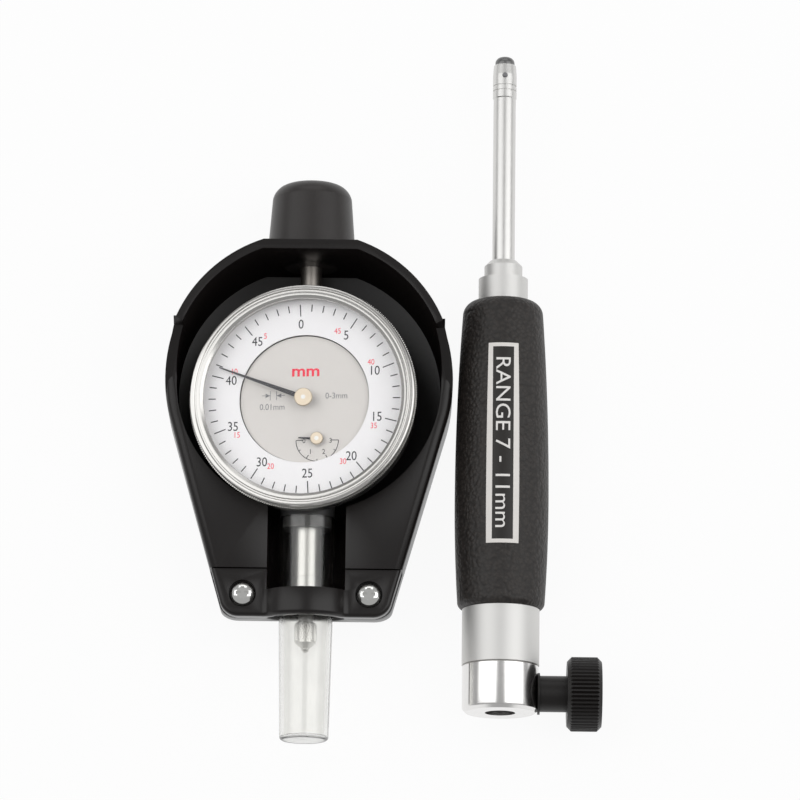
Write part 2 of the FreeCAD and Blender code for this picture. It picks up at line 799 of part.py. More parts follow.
def case():
    """The die-cast cup: a wall, a web behind the dial, a boss below and a collar above."""
    body = new_body("case")
    inner = s.case_radius - s.case_wall
    revolve(body, [
        (ZERO, s.case_web_z),
        (inner, s.case_web_z),
        (inner, s.case_back_z),
        (s.case_radius, s.case_back_z),
        (s.case_radius, s.case_shoulder_z),
        (s.spigot_radius, s.case_shoulder_z),
        (s.spigot_radius, s.spigot_top_z),
        (s.spigot_radius - s.case_wall, s.spigot_top_z),
        (s.spigot_radius - s.case_wall, s.case_web_top_z),
        (ZERO, s.case_web_top_z),
    ], "Cup", plane="XZ_Plane")
    pillars = new_sketch(body, "ScrewPillarCircles", offset=s.case_back_z)
    for x, y in square_corners(s.back_screw_circle):
        circle(pillars, x, y, s.pillar_radius)
    pad(body, pillars, s.case_web_z - s.case_back_z, "ScrewPillars")
    boss_radius = guard_inner(s.boss_flange_y + s.boss_length) - s.guard_fit
    boss_end = -s.boss_flange_y - s.boss_length
    root_y = -s.back_radius - s.running_fit
    revolve(body, [
        (s.stem_radius, root_y),
        (s.stem_radius, boss_end),
        (boss_radius, boss_end),
        (boss_radius, -s.boss_flange_y),
        (s.boss_flange_radius, -s.boss_flange_y),
        (s.boss_flange_radius, root_y),
    ], "StemBoss")
    revolve(body, [
        (s.spindle_radius, inner),
        (s.dust_collar_radius, inner),
        (s.dust_collar_radius, s.dust_collar_y),
        (s.spindle_radius, s.dust_collar_y),
    ], "DustCollar")
    groove(body, [(ZERO, boss_end - 1), (s.stem_radius, boss_end - 1), (s.stem_radius, ZERO),
                  (ZERO, ZERO)], "StemBore")
    bore = s.spindle_radius + s.running_fit
    groove(body, [(ZERO, ZERO), (bore, ZERO), (bore, s.dust_collar_y + 1),
                  (ZERO, s.dust_collar_y + 1)], "SpindleBore")
    groove(body, [(ZERO, s.dust_seat_y), (s.dust_cap_radius, s.dust_seat_y),
                  (s.dust_cap_radius, s.dust_collar_y + 1), (ZERO, s.dust_collar_y + 1)],
           "DustCapSeat")
    arbors = new_sketch(body, "ArborHoleCircles", offset=s.case_web_z)
    circle(arbors, ZERO, ZERO, s.arbor_radius + s.running_fit)
    circle(arbors, s.small_x, s.small_y, s.arbor_radius + s.running_fit)
    cut(body, arbors, s.case_wall, "ArborHoles")
    taps = new_sketch(body, "BackScrewCircles", offset=s.case_back_z)
    for x, y in square_corners(s.back_screw_circle):
        circle(taps, x, y, s.back_screw_shank)
    cut(body, taps, s.back_screw_length, "BackScrewHoles")
    on_indicator(body)


def square_corners(circle_radius):
    """The four places at 45 degrees on a circle."""
    reach = circle_radius * math.sqrt(0.5)
    return [(reach, reach), (-reach, reach), (-reach, -reach), (reach, -reach)]


def back_cover():
    body = new_body("back_cover")
    back = s.case_back_z - s.back_thickness
    edge = s.back_thickness / 4
    revolve(body, [
        (ZERO, back), (s.back_radius - edge, back), (s.back_radius, back + edge),
        (s.back_radius, s.case_back_z), (ZERO, s.case_back_z),
    ], "Disc", plane="XZ_Plane")
    holes = new_sketch(body, "ScrewHoleCircles", offset=back)
    seats = new_sketch(body, "ScrewSeatCircles", offset=back)
    for x, y in square_corners(s.back_screw_circle):
        circle(holes, x, y, s.back_screw_shank + s.running_fit)
        circle(seats, x, y, s.back_screw_radius + s.running_fit)
    cut(body, holes, s.back_thickness, "ScrewHoles")
    cut(body, seats, s.back_screw_head, "ScrewSeats")
    on_indicator(body)


def back_screws():
    """The back cover's four screws, sunk flush, with a slot in each head."""
    body = new_body("back_screws")
    back = s.case_back_z - s.back_thickness
    heads = new_sketch(body, "HeadCircles", offset=back)
    shanks = new_sketch(body, "ShankCircles", offset=back)
    slots = new_sketch(body, "SlotOutlines", offset=back)
    slot = s.back_screw_head / 3
    for x, y in square_corners(s.back_screw_circle):
        circle(heads, x, y, s.back_screw_radius)
        circle(shanks, x, y, s.back_screw_shank)
        reach = s.back_screw_radius + s.running_fit
        closed_profile(slots, rectangle(x - reach, x + reach, y - slot / 2, y + slot / 2))
    pad(body, heads, s.back_screw_head, "Heads")
    pad(body, shanks, s.back_screw_length, "Shanks")
    cut(body, slots, s.back_screw_head / 2, "Slots")
    on_indicator(body)


def stem():
    body = new_body("stem")
    inner = s.case_radius - s.case_wall
    bore = s.spindle_radius + s.running_fit
    radius = s.stem_radius
    ring = s.stem_radius - s.stem_ring_depth
    end = -s.stem_end_y
    revolve(body, [
        (bore, -inner),
        (bore, end),
        (radius - s.stem_chamfer, end),
        (radius, end + s.stem_chamfer),
        (radius, -s.stem_ring_y - s.stem_ring_width),
        (ring, -s.stem_ring_y - s.stem_ring_width),
        (ring, -s.stem_ring_y),
        (radius, -s.stem_ring_y),
        (radius, -inner),
    ], "Turned")
    on_indicator(body)


def spindle():
    body = new_body("spindle")
    end = -s.spindle_end_y
    revolve(body, [
        (ZERO, s.spindle_top_y),
        (s.spindle_radius - s.stem_chamfer, s.spindle_top_y),
        (s.spindle_radius, s.spindle_top_y - s.stem_chamfer),
        (s.spindle_radius, end),
        (s.tip_stud_radius, end),
        (s.tip_stud_radius, end + s.tip_stud_length),
        (ZERO, end + s.tip_stud_length),
    ], "Turned")
    on_indicator(body)


def contact_point():
    """The screw-in tip: stud, knurled body, cone and rounded nose."""
    body = new_body("contact_point")
    face = -s.spindle_end_y
    cone = face - s.tip_body_length
    nose = cone - s.tip_cone_length
    ball = s.tip_ball_radius
    bevel = s.stem_chamfer
    revolve(body, [
        (ZERO, face + s.tip_stud_length),
        (s.tip_stud_radius, face + s.tip_stud_length),
        (s.tip_stud_radius, face),
        (s.tip_body_radius - bevel, face),
        (s.tip_body_radius, face - bevel),
        (s.tip_body_radius, cone),
        (ball, nose + ball),
        curve(ZERO, nose, ball, ball * 0.7, nose + ball * 0.3),
    ], "Turned")
    on_indicator(body)


def dust_cap():
    """The tube that closes the spindle's upper end and seats in the shield's top cap."""
    body = new_body("dust_cap")
    inner = s.dust_cap_radius - s.dust_cap_wall
    top = s.dust_cap_top_y
    edge = s.stem_chamfer
    revolve(body, [
        (inner, s.dust_seat_y),
        (s.dust_cap_radius, s.dust_seat_y),
        (s.dust_cap_radius, top - edge),
        (s.dust_cap_radius - edge, top),
        (ZERO, top),
        (ZERO, top - s.dust_cap_wall),
        (inner, top - s.dust_cap_wall),
    ], "Turned")
    on_indicator(body)


def bezel():
    body = new_body("bezel")
    bore = s.spigot_radius + s.running_fit
    edge = s.knurl_radius - s.bezel_radius
    glass_top = s.crystal_seat_z + s.crystal_thickness
    lip = s.bezel_front_z - glass_top
    revolve(body, [
        (bore, s.bezel_back_z),
        (s.knurl_radius - edge, s.bezel_back_z),
        (s.knurl_radius, s.bezel_back_z + edge),
        (s.knurl_radius, s.knurl_top_z - edge),
        (s.bezel_radius, s.knurl_top_z),
        (s.bezel_radius, s.bezel_front_z - edge),
        (s.bezel_radius - edge, s.bezel_front_z),
        (s.bezel_lip_radius + lip, s.bezel_front_z),
        (s.bezel_lip_radius, s.bezel_front_z - lip / 2),
        (s.bezel_lip_radius, glass_top),
        (s.crystal_radius, glass_top),
        (s.crystal_radius, s.crystal_seat_z),
        (s.ring_seat_radius, s.crystal_seat_z),
        (s.ring_seat_radius, s.ring_seat_z),
        (bore, s.ring_seat_z),
    ], "Turned", plane="XZ_Plane")
    on_indicator(body)


def ring_part(label, inner, outer, low, thickness):
    """A flat turned ring or disc about the dial's axis."""
    body = new_body(label)
    revolve(body, rectangle(term(inner), outer, low, low + thickness), "Turned", plane="XZ_Plane")
    on_indicator(body)
    return body


def dial_plate():
    """The fixed inner dial, with a hole for each pointer's arbor."""
    body = ring_part("dial_plate", 0, s.dial_disc_radius, s.case_web_top_z, s.dial_disc_thickness)
    holes = new_sketch(body, "ArborHoleCircles", offset=s.case_web_top_z)
    circle(holes, ZERO, ZERO, s.arbor_radius * 2)
    circle(holes, s.small_x, s.small_y, s.arbor_radius * 2)
    cut(body, holes, s.dial_disc_thickness, "ArborHoles")


def hand(label, x, y, z, length, tail, root_width, tip_width, angle, hub):
    """A flat tapered hand with a round eye, pointing at an angle from +Y towards -X."""
    body = new_body(label)

    def swing(across, along):
        return (x + across * cosine(angle) - along * sine(angle),
                y + across * sine(angle) + along * cosine(angle))

    outline = new_sketch(body, "HandOutline", offset=z)
    closed_profile(outline, [
        swing(root_width / 2, -tail), swing(tip_width / 2, length),
        swing(-tip_width / 2, length), swing(-root_width / 2, -tail),
    ])
    pad(body, outline, s.pointer_thickness, "Hand")
    eye = new_sketch(body, "EyeCircle", offset=z)
    circle(eye, x, y, hub * 0.8)
    pad(body, eye, s.pointer_thickness, "Eye")
    hole = new_sketch(body, "ArborCircle", offset=z)
    circle(hole, x, y, s.arbor_radius)
    cut(body, hole, s.pointer_thickness, "ArborHole")
    on_indicator(body)


def hub(label, x, y, z, radius, height):
    """The round brass hub over a hand, bored for its arbor, with a bevelled rim."""
    body = new_body(label)
    disc = new_sketch(body, "HubCircle", offset=z)
    circle(disc, x, y, radius)
    pad(body, disc, height, "Disc")
    top = (z + height).value
    rim = edges_where(body.Shape, lambda edge: len(edge.Vertexes) == 1
                      and abs(edge.Vertexes[0].Z - top) < 1e-4)
    dress(body, "Chamfer", rim, "Size", height / 5, "Rim")
    hole = new_sketch(body, "ArborCircle", offset=z)
    circle(hole, x, y, s.arbor_radius)
    cut(body, hole, height, "ArborHole")
    on_indicator(body)


def arbor(label, x, y, low, top):
    body = new_body(label)
    rod = new_sketch(body, "ArborCircle", offset=low)
    circle(rod, x, y, s.arbor_radius)
    pad(body, rod, top - low, "Arbor")
    on_indicator(body)


def pointers():
    hub_z = s.pointer_z + s.pointer_thickness
    hand("main_pointer", ZERO, ZERO, s.pointer_z, s.pointer_length, s.pointer_tail_length,
         s.pointer_root_width, s.pointer_tip_width, s.pointer_angle, s.hub_radius)
    hub("main_hub", ZERO, ZERO, hub_z, s.hub_radius, s.hub_height)
    arbor("main_arbor", ZERO, ZERO, s.bridge_z, hub_z + s.hub_height)
    small_hub_z = s.small_pointer_z + s.pointer_thickness
    hand("small_pointer", s.small_x, s.small_y, s.small_pointer_z, s.small_pointer_length,
         s.small_hub_radius, s.small_root_width, s.pointer_tip_width, s.small_pointer_angle,
         s.small_hub_radius)
    hub("small_hub", s.small_x, s.small_y, small_hub_z, s.small_hub_radius, s.small_hub_height)
    arbor("small_arbor", s.small_x, s.small_y, s.bridge_z, small_hub_z + s.small_hub_height)


def movement_plate():
    """The bridge behind the dial web, hung from the web on pillars, that carries the arbors."""
    body = new_body("movement_plate")
    top = s.bridge_z + s.bridge_thickness
    revolve(body, rectangle(ZERO, s.bridge_radius, s.bridge_z, top), "Disc", plane="XZ_Plane")
    trim = new_sketch(body, "TrimOutline", offset=s.bridge_z)
    closed_profile(trim, rectangle(-s.bridge_radius, s.bridge_radius, s.bridge_cut_y,
                                   s.bridge_radius + 1))
    cut(body, trim, s.bridge_thickness, "Trim")
    posts = new_sketch(body, "PostCircles", offset=s.bridge_z)
    for x, y in ((-1, -1), (1, -1), (-1, 1), (1, 1)):
        circle(posts, x * (s.bridge_radius - s.pillar_radius * 2) * math.sqrt(0.5),
               y * (s.bridge_radius - s.pillar_radius * 2) * math.sqrt(0.5), s.pillar_radius)
    pad(body, posts, s.case_web_z - s.bridge_z, "Posts")
    bearings = new_sketch(body, "BearingCircles", offset=s.bridge_z)
    circle(bearings, ZERO, ZERO, s.arbor_radius + s.running_fit)
    circle(bearings, s.small_x, s.small_y, s.arbor_radius + s.running_fit)
    cut(body, bearings, s.bridge_thickness, "Bearings")
    on_indicator(body)


# ---------------------------------------------------------------- handle

SLEEVE_Y = s.collar_length
GRIP_Y = SLEEVE_Y + s.sleeve_length
GRIP_TOP = GRIP_Y + s.grip_length
CORE_TOP = GRIP_TOP - s.nose_seat_depth
NOSE_STEP = GRIP_TOP + s.nose_wide_length
NOSE_TOP = NOSE_STEP + s.nose_narrow_length
HEAD_Y = NOSE_TOP + s.tube_exposed
HEAD_TOP = HEAD_Y + s.head_length
BELLY_Y = GRIP_Y + s.grip_belly_y
TUBE_INNER = s.tube_radius - s.tube_wall
CONTACT_Y = HEAD_Y + s.contact_y
ROD_TIP = CONTACT_Y + s.contact_radius * 0.85


def clamp_collar():
    """The plated collar that takes the indicator's stem, with a boss for the lock screw."""
    body = new_body("clamp_collar")
    top = SLEEVE_Y + s.collar_spigot_length
    chamfer = s.collar_chamfer
    revolve(body, [
        (ZERO, ZERO),
        (s.collar_radius - chamfer, ZERO),
        (s.collar_radius, chamfer),
        (s.collar_radius, SLEEVE_Y),
        (s.collar_spigot_radius, SLEEVE_Y),
        (s.collar_spigot_radius, top),
        (ZERO, top),
    ], "Turned")
    boss = new_sketch(body, "BossCircle", "YZ_Plane")
    circle(boss, s.knob_axis_y, ZERO, s.collar_boss_radius)
    pad(body, boss, s.collar_boss_reach, "Boss")
    bore = s.stem_radius + s.stem_socket_fit
    groove(body, [(ZERO, ZERO - 1), (bore, ZERO - 1), (bore, top + 1), (ZERO, top + 1)], "StemSocket")
    face = new_sketch(body, "SpotFaceCircle", "YZ_Plane", offset=s.collar_boss_reach)
    circle(face, s.knob_axis_y, ZERO, s.washer_radius + s.screw_clearance)
    cut(body, face, s.collar_radius, "SpotFace")
    hole = new_sketch(body, "LockHoleCircle", "YZ_Plane")
    circle(hole, s.knob_axis_y, ZERO, s.lock_screw_radius + s.lock_screw_fit)
    cut(body, hole, s.collar_boss_reach + 1, "LockHole")
    slit = new_sketch(body, "SlitOutline", "XZ_Plane", offset=ZERO)
    closed_profile(slit, rectangle(-s.collar_radius - 1, ZERO, -s.collar_slit / 2, s.collar_slit / 2))
    cut(body, slit, s.collar_slit_depth, "Slit", upwards=False)
    on_handle(body)


def handle_core():
    """The aluminium tube inside the grip; its lower end shows as the sleeve."""
    body = new_body("handle_core")
    socket = s.collar_spigot_radius
    seat = SLEEVE_Y + s.collar_spigot_length
    plug = s.nose_plug_length
    revolve(body, [
        (socket, SLEEVE_Y),
        (s.core_radius, SLEEVE_Y),
        (s.core_radius, GRIP_Y),
        (s.core_neck_radius, GRIP_Y),
        (s.core_neck_radius, CORE_TOP),
        (s.core_bore_radius, CORE_TOP),
        (s.core_bore_radius, seat),
        (socket, seat),
    ], "Turned")
    on_handle(body)
    return plug


def belly_arc(radius, y, lift):
    """The radius of the grip's long arc that ends at this radius and y, on its belly's crown."""
    drop = s.grip_belly_radius - radius
    along = y - BELLY_Y
    return (along * along + drop * drop) / (drop * 2) - lift


def grip_side(lift):
    """The grip's two long arcs, from heel to shoulder, sunk by lift below its surface."""
    heel_y = GRIP_Y + s.grip_heel_round
    shoulder_y = GRIP_TOP - s.grip_shoulder_round
    belly = s.grip_belly_radius
    points = []
    for radius, y in ((s.grip_heel_radius, heel_y), (s.grip_shoulder_radius, shoulder_y)):
        arc = belly_arc(radius, y, ZERO)
        middle_y = (y + BELLY_Y) / 2
        fall = belly - (middle_y - BELLY_Y) * (middle_y - BELLY_Y) / (arc * 2)
        points.append((radius - lift, y, arc - lift, fall - lift, middle_y))
    heel, shoulder = points
    return [
        curve(belly - lift, BELLY_Y, heel[2], heel[3], heel[4]),
        curve(shoulder[0], shoulder[1], shoulder[2], shoulder[3], shoulder[4]),
    ]


def grip_radius(y, heel_side):
    """The grip's surface radius at y, on the heel's or the shoulder's long arc."""
    if heel_side:
        arc = belly_arc(s.grip_heel_radius, GRIP_Y + s.grip_heel_round, ZERO)
    else:
        arc = belly_arc(s.grip_shoulder_radius, GRIP_TOP - s.grip_shoulder_round, ZERO)
    along = y - BELLY_Y
    return root(arc * arc - along * along) - arc + s.grip_belly_radius


def label_band(low, high, thickness, proud):
    """The section of the label, or of its recess, along the grip's two arcs."""
    heel_arc = belly_arc(s.grip_heel_radius, GRIP_Y + s.grip_heel_round, ZERO)
    shoulder_arc = belly_arc(s.grip_shoulder_radius, GRIP_TOP - s.grip_shoulder_round, ZERO)
    belly = s.grip_belly_radius
    low_r = grip_radius(low, True)
    high_r = grip_radius(high, False)
    low_mid = (low + BELLY_Y) / 2
    high_mid = (high + BELLY_Y) / 2
    low_mid_r = grip_radius(low_mid, True)
    high_mid_r = grip_radius(high_mid, False)
    return [
        (low, low_r + proud),
        curve(BELLY_Y, belly + proud, heel_arc + proud, low_mid, low_mid_r + proud),
        curve(high, high_r + proud, shoulder_arc + proud, high_mid, high_mid_r + proud),
        (high, high_r - thickness),
        curve(BELLY_Y, belly - thickness, shoulder_arc - thickness, high_mid, high_mid_r - thickness),
        curve(low, low_r - thickness, heel_arc - thickness, low_mid, low_mid_r - thickness),
    ]


def label_sector(gap):
    width = s.label_width + gap * 2
    return 2 * arcsine(width / (s.grip_belly_radius * 2))


def grip():
    """The moulded grip: a barrel with a domed shoulder, over the core, recessed for the label."""
    body = new_body("grip")
    heel = s.grip_heel_round
    round_top = s.grip_shoulder_round
    nose = s.nose_wide_radius + s.running_fit
    revolve(body, [
        (s.core_neck_radius, GRIP_Y),
        (s.grip_heel_radius - heel, GRIP_Y),
        curve(s.grip_heel_radius, GRIP_Y + heel, heel,
              s.grip_heel_radius - heel * 0.29, GRIP_Y + heel * 0.29),
        *grip_side(ZERO),
        curve(s.grip_shoulder_radius - round_top, GRIP_TOP, round_top,
              s.grip_shoulder_radius - round_top * 0.29, GRIP_TOP - round_top * 0.29),
        (nose, GRIP_TOP),
        (nose, CORE_TOP),
        (s.core_neck_radius, CORE_TOP),
    ], "Barrel")
    gap = s.label_gap
    low = GRIP_Y + s.label_lower_y - s.label_length / 2 - gap
    high = GRIP_Y + s.label_lower_y + s.label_length / 2 + gap
    groove(body, label_band(low, high, s.label_thickness + s.label_glue, gap), "LabelRecess",
           axis="H_Axis", plane="YZ_Plane", sector=label_sector(gap))
    on_handle(body)


def label_plate():
    body = new_body("label_plate")
    low = GRIP_Y + s.label_lower_y - s.label_length / 2
    high = GRIP_Y + s.label_lower_y + s.label_length / 2
    revolve(body, label_band(low, high, s.label_thickness, ZERO), "Plate",
            axis="H_Axis", plane="YZ_Plane", sector=label_sector(ZERO))
    on_handle(body)


def nose_collar():
    body = new_body("nose_collar")
    revolve(body, [
        (s.tube_radius, NOSE_TOP - s.tube_insert),
        (s.tube_radius, NOSE_TOP),
        (s.nose_narrow_radius - s.nose_chamfer, NOSE_TOP),
        (s.nose_narrow_radius, NOSE_TOP - s.nose_chamfer),
        (s.nose_narrow_radius, NOSE_STEP),
        (s.nose_wide_radius, NOSE_STEP),
        (s.nose_wide_radius, CORE_TOP),
        (s.core_bore_radius, CORE_TOP),
        (s.core_bore_radius, CORE_TOP - s.nose_plug_length),
        (TUBE_INNER, CORE_TOP - s.nose_plug_length),
        (TUBE_INNER, NOSE_TOP - s.tube_insert),
    ], "Turned")
    on_handle(body)


def stem_tube():
    body = new_body("stem_tube")
    revolve(body, rectangle(TUBE_INNER, s.tube_radius, NOSE_TOP - s.tube_insert, HEAD_Y), "Tube")
    on_handle(body)


def measuring_head():
    """The bore head: a slightly barrelled sleeve on a spigot, with two grooves round it."""
    body = new_body("measuring_head")
    spigot = HEAD_Y - s.head_plug_insert * 2
    bore = s.rod_radius + s.running_fit
    chamber = CONTACT_Y - s.contact_radius * 2.5
    depth = s.head_groove_depth
    width = s.head_groove_width
    first = HEAD_Y + 1.9
    second = HEAD_Y + 3.3
    profile = [
        (bore, spigot),
        (TUBE_INNER, spigot),
        (TUBE_INNER, HEAD_Y),
        (s.head_radius - depth, HEAD_Y),
        (s.head_radius, HEAD_Y + depth),
    ]
    for low in (first, second):
        profile += [
            (s.head_radius, low),
            (s.head_radius - depth, low),
            (s.head_radius - depth, low + width),
            (s.head_radius, low + width),
        ]
    profile += [
        (s.head_radius, HEAD_TOP - s.head_length * 0.3),
        (s.head_end_radius, HEAD_TOP - depth),
        (s.head_end_radius - depth, HEAD_TOP),
        (s.head_bore_radius, HEAD_TOP),
        (s.head_bore_radius, chamber),
        (bore, chamber),
    ]
    revolve(body, profile, "Turned")
    for name, radius, up in (("ContactHole", s.contact_radius + s.running_fit, True),
                             ("AnvilHole", s.contact_radius, False)):
        sketch = new_sketch(body, name + "Circle")
        circle(sketch, ZERO, CONTACT_Y, radius)
        cut(body, sketch, s.head_radius + 1, name, upwards=up)
    on_handle(body)


def head_plug():
    body = new_body("head_plug")
    top = HEAD_TOP + s.head_plug_length
    radius = s.head_plug_radius
    dome = s.head_plug_length * 0.75
    revolve(body, [
        (ZERO, HEAD_TOP - s.head_plug_insert),
        (s.head_bore_radius, HEAD_TOP - s.head_plug_insert),
        (s.head_bore_radius, HEAD_TOP),
        (radius, HEAD_TOP),
        (radius, top - dome),
        curve(radius - dome, top, dome, radius - dome * 0.29, top - dome * 0.29),
        (ZERO, top),
    ], "Turned")
    on_handle(body)


def wedge_pin(label, radius, low, high, slanted):
    """A measuring pin across the head; a slanted foot rides on the push rod's cone."""
    body = new_body(label)
    dome = radius * 0.4
    sign = 1 if slanted else -1
    pin = new_sketch(body, "PinCircle", offset=low if slanted else -high)
    circle(pin, ZERO, CONTACT_Y, radius)
    pad(body, pin, high - low, "Pin")
    tip = (sign * high).value
    rim = edges_where(body.Shape, lambda edge: len(edge.Vertexes) == 1
                      and abs(edge.Vertexes[0].Z - tip) < 1e-4)
    dress(body, "Chamfer", rim, "Size", dome, "Nose")
    if slanted:
        foot = new_sketch(body, "FootOutline", "YZ_Plane")
        wedge = ROD_TIP + s.rod_wedge_gap * math.sqrt(2)
        near = CONTACT_Y - radius * 2
        far = CONTACT_Y + radius * 2
        closed_profile(foot, [(near, wedge - near), (far, wedge - far), (near, wedge - far)])
        cut_both_ways(body, foot, radius * 4, "Foot")
    on_handle(body)


def push_rod():
    """The rod inside stem and handle: coned at the head, footed where the indicator's tip sits."""
    body = new_body("push_rod")
    foot_top = s.rod_foot_y + s.rod_foot_length
    flange = s.rod_guide_y + s.rod_guide_length + s.rod_spring_length
    revolve(body, [
        (ZERO, s.rod_foot_y),
        (s.rod_foot_radius, s.rod_foot_y),
        (s.rod_foot_radius, foot_top),
        (s.rod_radius, foot_top),
        (s.rod_radius, flange),
        (s.rod_foot_radius, flange),
        (s.rod_foot_radius, flange + s.rod_radius),
        (s.rod_radius, flange + s.rod_radius),
        (s.rod_radius, ROD_TIP - s.rod_radius),
        (ZERO, ROD_TIP),
    ], "Turned")
    on_handle(body)


def rod_guide():
    body = new_body("rod_guide")
    revolve(body, rectangle(s.rod_radius + s.running_fit, s.core_bore_radius, s.rod_guide_y,
                            s.rod_guide_y + s.rod_guide_length), "Bush")
    on_handle(body)


def beside_knob(body):
    place(body, HANDLE_X, HANDLE_Y + s.knob_axis_y, HANDLE_Z)


def lock_knob():
    """The ribbed knob: its shank stands off the collar's boss, its head is ribbed all round."""
    body = new_body("lock_knob")
    start = s.collar_boss_reach + s.washer_gap * 2 + s.washer_thickness
    head = s.knob_reach - s.knob_width
    chamfer = s.knob_chamfer
    screw = s.lock_screw_radius
    inside = start + s.lock_screw_insert
    revolve(body, [
        (start, screw),
        (start, s.knob_shank_radius),
        (head, s.knob_shank_radius),
        (head, s.knob_radius - chamfer),
        (head + chamfer, s.knob_radius),
        (s.knob_reach - chamfer, s.knob_radius),
        (s.knob_reach, s.knob_radius - chamfer),
        (s.knob_reach, ZERO),
        (inside, ZERO),
        (inside, screw),
    ], "Turned", axis="H_Axis")
    rib = new_sketch(body, "RibGapOutline", "YZ_Plane", offset=head)
    closed_profile(rib, [
        (s.knob_radius - s.rib_depth, ZERO),
        (s.knob_radius + s.rib_depth, -s.rib_width),
        (s.knob_radius + s.rib_depth, s.rib_width),
    ])
    gap = cut(body, rib, s.knob_width, "RibGap")
    ribs = body.newObject("PartDesign::PolarPattern", "Ribs")
    ribs.Originals = [gap]
    ribs.Axis = (origin_part(body, "X_Axis"), [""])
    ribs.Angle = 360
    ribs.Occurrences = SIZES["rib_count"]
    ribs.setExpression("Occurrences", s.rib_count.text)
    body.Tip = ribs
    beside_knob(body)


def lock_screw():
    """The steel screw moulded into the knob; its end presses on the indicator's stem."""
    body = new_body("lock_screw")
    start = s.collar_boss_reach + s.washer_gap * 2 + s.washer_thickness
    tip = s.stem_radius + s.lock_screw_radius / 4
    edge = s.lock_screw_radius / 4
    radius = s.lock_screw_radius
    revolve(body, [
        (tip, ZERO),
        (tip, radius - edge),
        (tip + edge, radius),
        (start + s.lock_screw_insert, radius),
        (start + s.lock_screw_insert, ZERO),
    ], "Turned", axis="H_Axis")
    beside_knob(body)


def knob_washer():
    body = new_body("knob_washer")
    start = s.collar_boss_reach + s.washer_gap
    bore = s.lock_screw_radius + s.lock_screw_fit
    revolve(body, rectangle(start, start + s.washer_thickness, bore, s.washer_radius),
            "Washer", axis="H_Axis")
    beside_knob(body)


# ---------------------------------------------------------------- build, check and write

shield_housing()
top_cap()
clamp_bar()
clamp_screws()
tip_guard()
case()
back_cover()
back_screws()
movement_plate()
stem()
spindle()
contact_point()
dust_cap()
bezel()
ring_part("crystal", 0, s.crystal_radius, s.crystal_seat_z, s.crystal_thickness)
ring_part("scale_ring", s.scale_ring_inner, s.ring_seat_radius, s.ring_seat_z,
          s.scale_ring_thickness)
dial_plate()
pointers()
clamp_collar()
handle_core()
grip()
label_plate()
nose_collar()
stem_tube()
measuring_head()
head_plug()
wedge_pin("moving_contact", s.contact_radius, ZERO - s.contact_radius,
          s.head_radius + s.contact_stand, True)
wedge_pin("fixed_anvil", s.contact_radius, s.head_bore_radius, s.head_radius + s.contact_stand,
          False)
push_rod()
rod_guide()
lock_knob()
lock_screw()
knob_washer()
doc.recompute()

for item in doc.Objects:
    if "Invalid" in item.State or "Error" in item.State:
        raise RuntimeError(f"{item.Label} failed: {item.State}")
for part in PARTS:
    if part.Shape.isNull() or not part.Shape.isValid():
        raise RuntimeError(f"{part.Label} has no valid shape")

os.makedirs("parts", exist_ok=True)
for part in PARTS:
    part.Shape.exportStep(f"parts/{part.Label}.step")
    print(f"{part.Label}: {len(part.Shape.Solids)} solid, {part.Shape.Volume:.1f} mm3")
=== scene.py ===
import json
import math

import bmesh
import bpy
from mathutils import Matrix, Vector
from mathutils.bvhtree import BVHTree


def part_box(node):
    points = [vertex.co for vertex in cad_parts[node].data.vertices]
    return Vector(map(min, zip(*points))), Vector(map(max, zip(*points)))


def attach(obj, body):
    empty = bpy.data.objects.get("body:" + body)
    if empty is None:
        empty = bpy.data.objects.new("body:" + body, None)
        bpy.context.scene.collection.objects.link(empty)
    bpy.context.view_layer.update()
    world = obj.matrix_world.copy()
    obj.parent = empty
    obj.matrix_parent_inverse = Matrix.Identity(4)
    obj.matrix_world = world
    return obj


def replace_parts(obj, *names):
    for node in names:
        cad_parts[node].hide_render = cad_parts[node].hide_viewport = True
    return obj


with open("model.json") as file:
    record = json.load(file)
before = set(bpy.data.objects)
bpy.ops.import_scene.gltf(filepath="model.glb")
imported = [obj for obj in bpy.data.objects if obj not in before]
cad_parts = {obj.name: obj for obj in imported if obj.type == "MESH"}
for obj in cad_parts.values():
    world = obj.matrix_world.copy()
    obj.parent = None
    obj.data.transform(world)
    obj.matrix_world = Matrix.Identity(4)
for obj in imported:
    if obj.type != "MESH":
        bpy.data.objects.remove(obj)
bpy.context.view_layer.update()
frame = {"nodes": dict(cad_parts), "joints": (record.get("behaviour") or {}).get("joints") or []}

mm = 0.001
nodes = frame["nodes"]
joints = {joint["name"]: joint for joint in frame["joints"]}
print("frame loaded,", len(nodes), "parts")

# the view, the lamps and a paper floor

cameraSetup = {
    "aim": (4.3, -2.25, 15.0),      # mm
    "distance": 1400.0,
    "tiltDegrees": 13.0,
    "rollDegrees": 0.7,
    "lens": 233.1,
}


def addCamera(setup):
    tilt = math.radians(setup["tiltDegrees"])
    backwards = Vector((0, -math.sin(tilt), math.cos(tilt)))
    camera = bpy.data.objects.new("camera", bpy.data.cameras.new("camera"))
    bpy.context.scene.collection.objects.link(camera)
    camera.data.lens = setup["lens"]
    camera.data.clip_end = 10
    turn = Matrix.Rotation(tilt, 4, "X") @ Matrix.Rotation(math.radians(setup["rollDegrees"]), 4, "Z")
    place = Vector(setup["aim"]) * mm + backwards * setup["distance"] * mm
    camera.matrix_world = Matrix.Translation(place) @ turn
    bpy.context.scene.camera = camera


lightSetup = {
    "leftBox": {"place": (-0.85, 0.15, 1.05), "size": (0.9, 1.5), "power": 5.6},
    "rightBox": {"place": (0.9, 0.1, 1.0), "size": (0.9, 1.5), "power": 6.6},
    "backBox": {"place": (0.0, 1.3, 0.75), "size": (1.4, 0.6), "power": 2.4},
    "worldStrength": 0.4,
    "floorReach": 3.0,
    "floorWhite": 0.93,
}


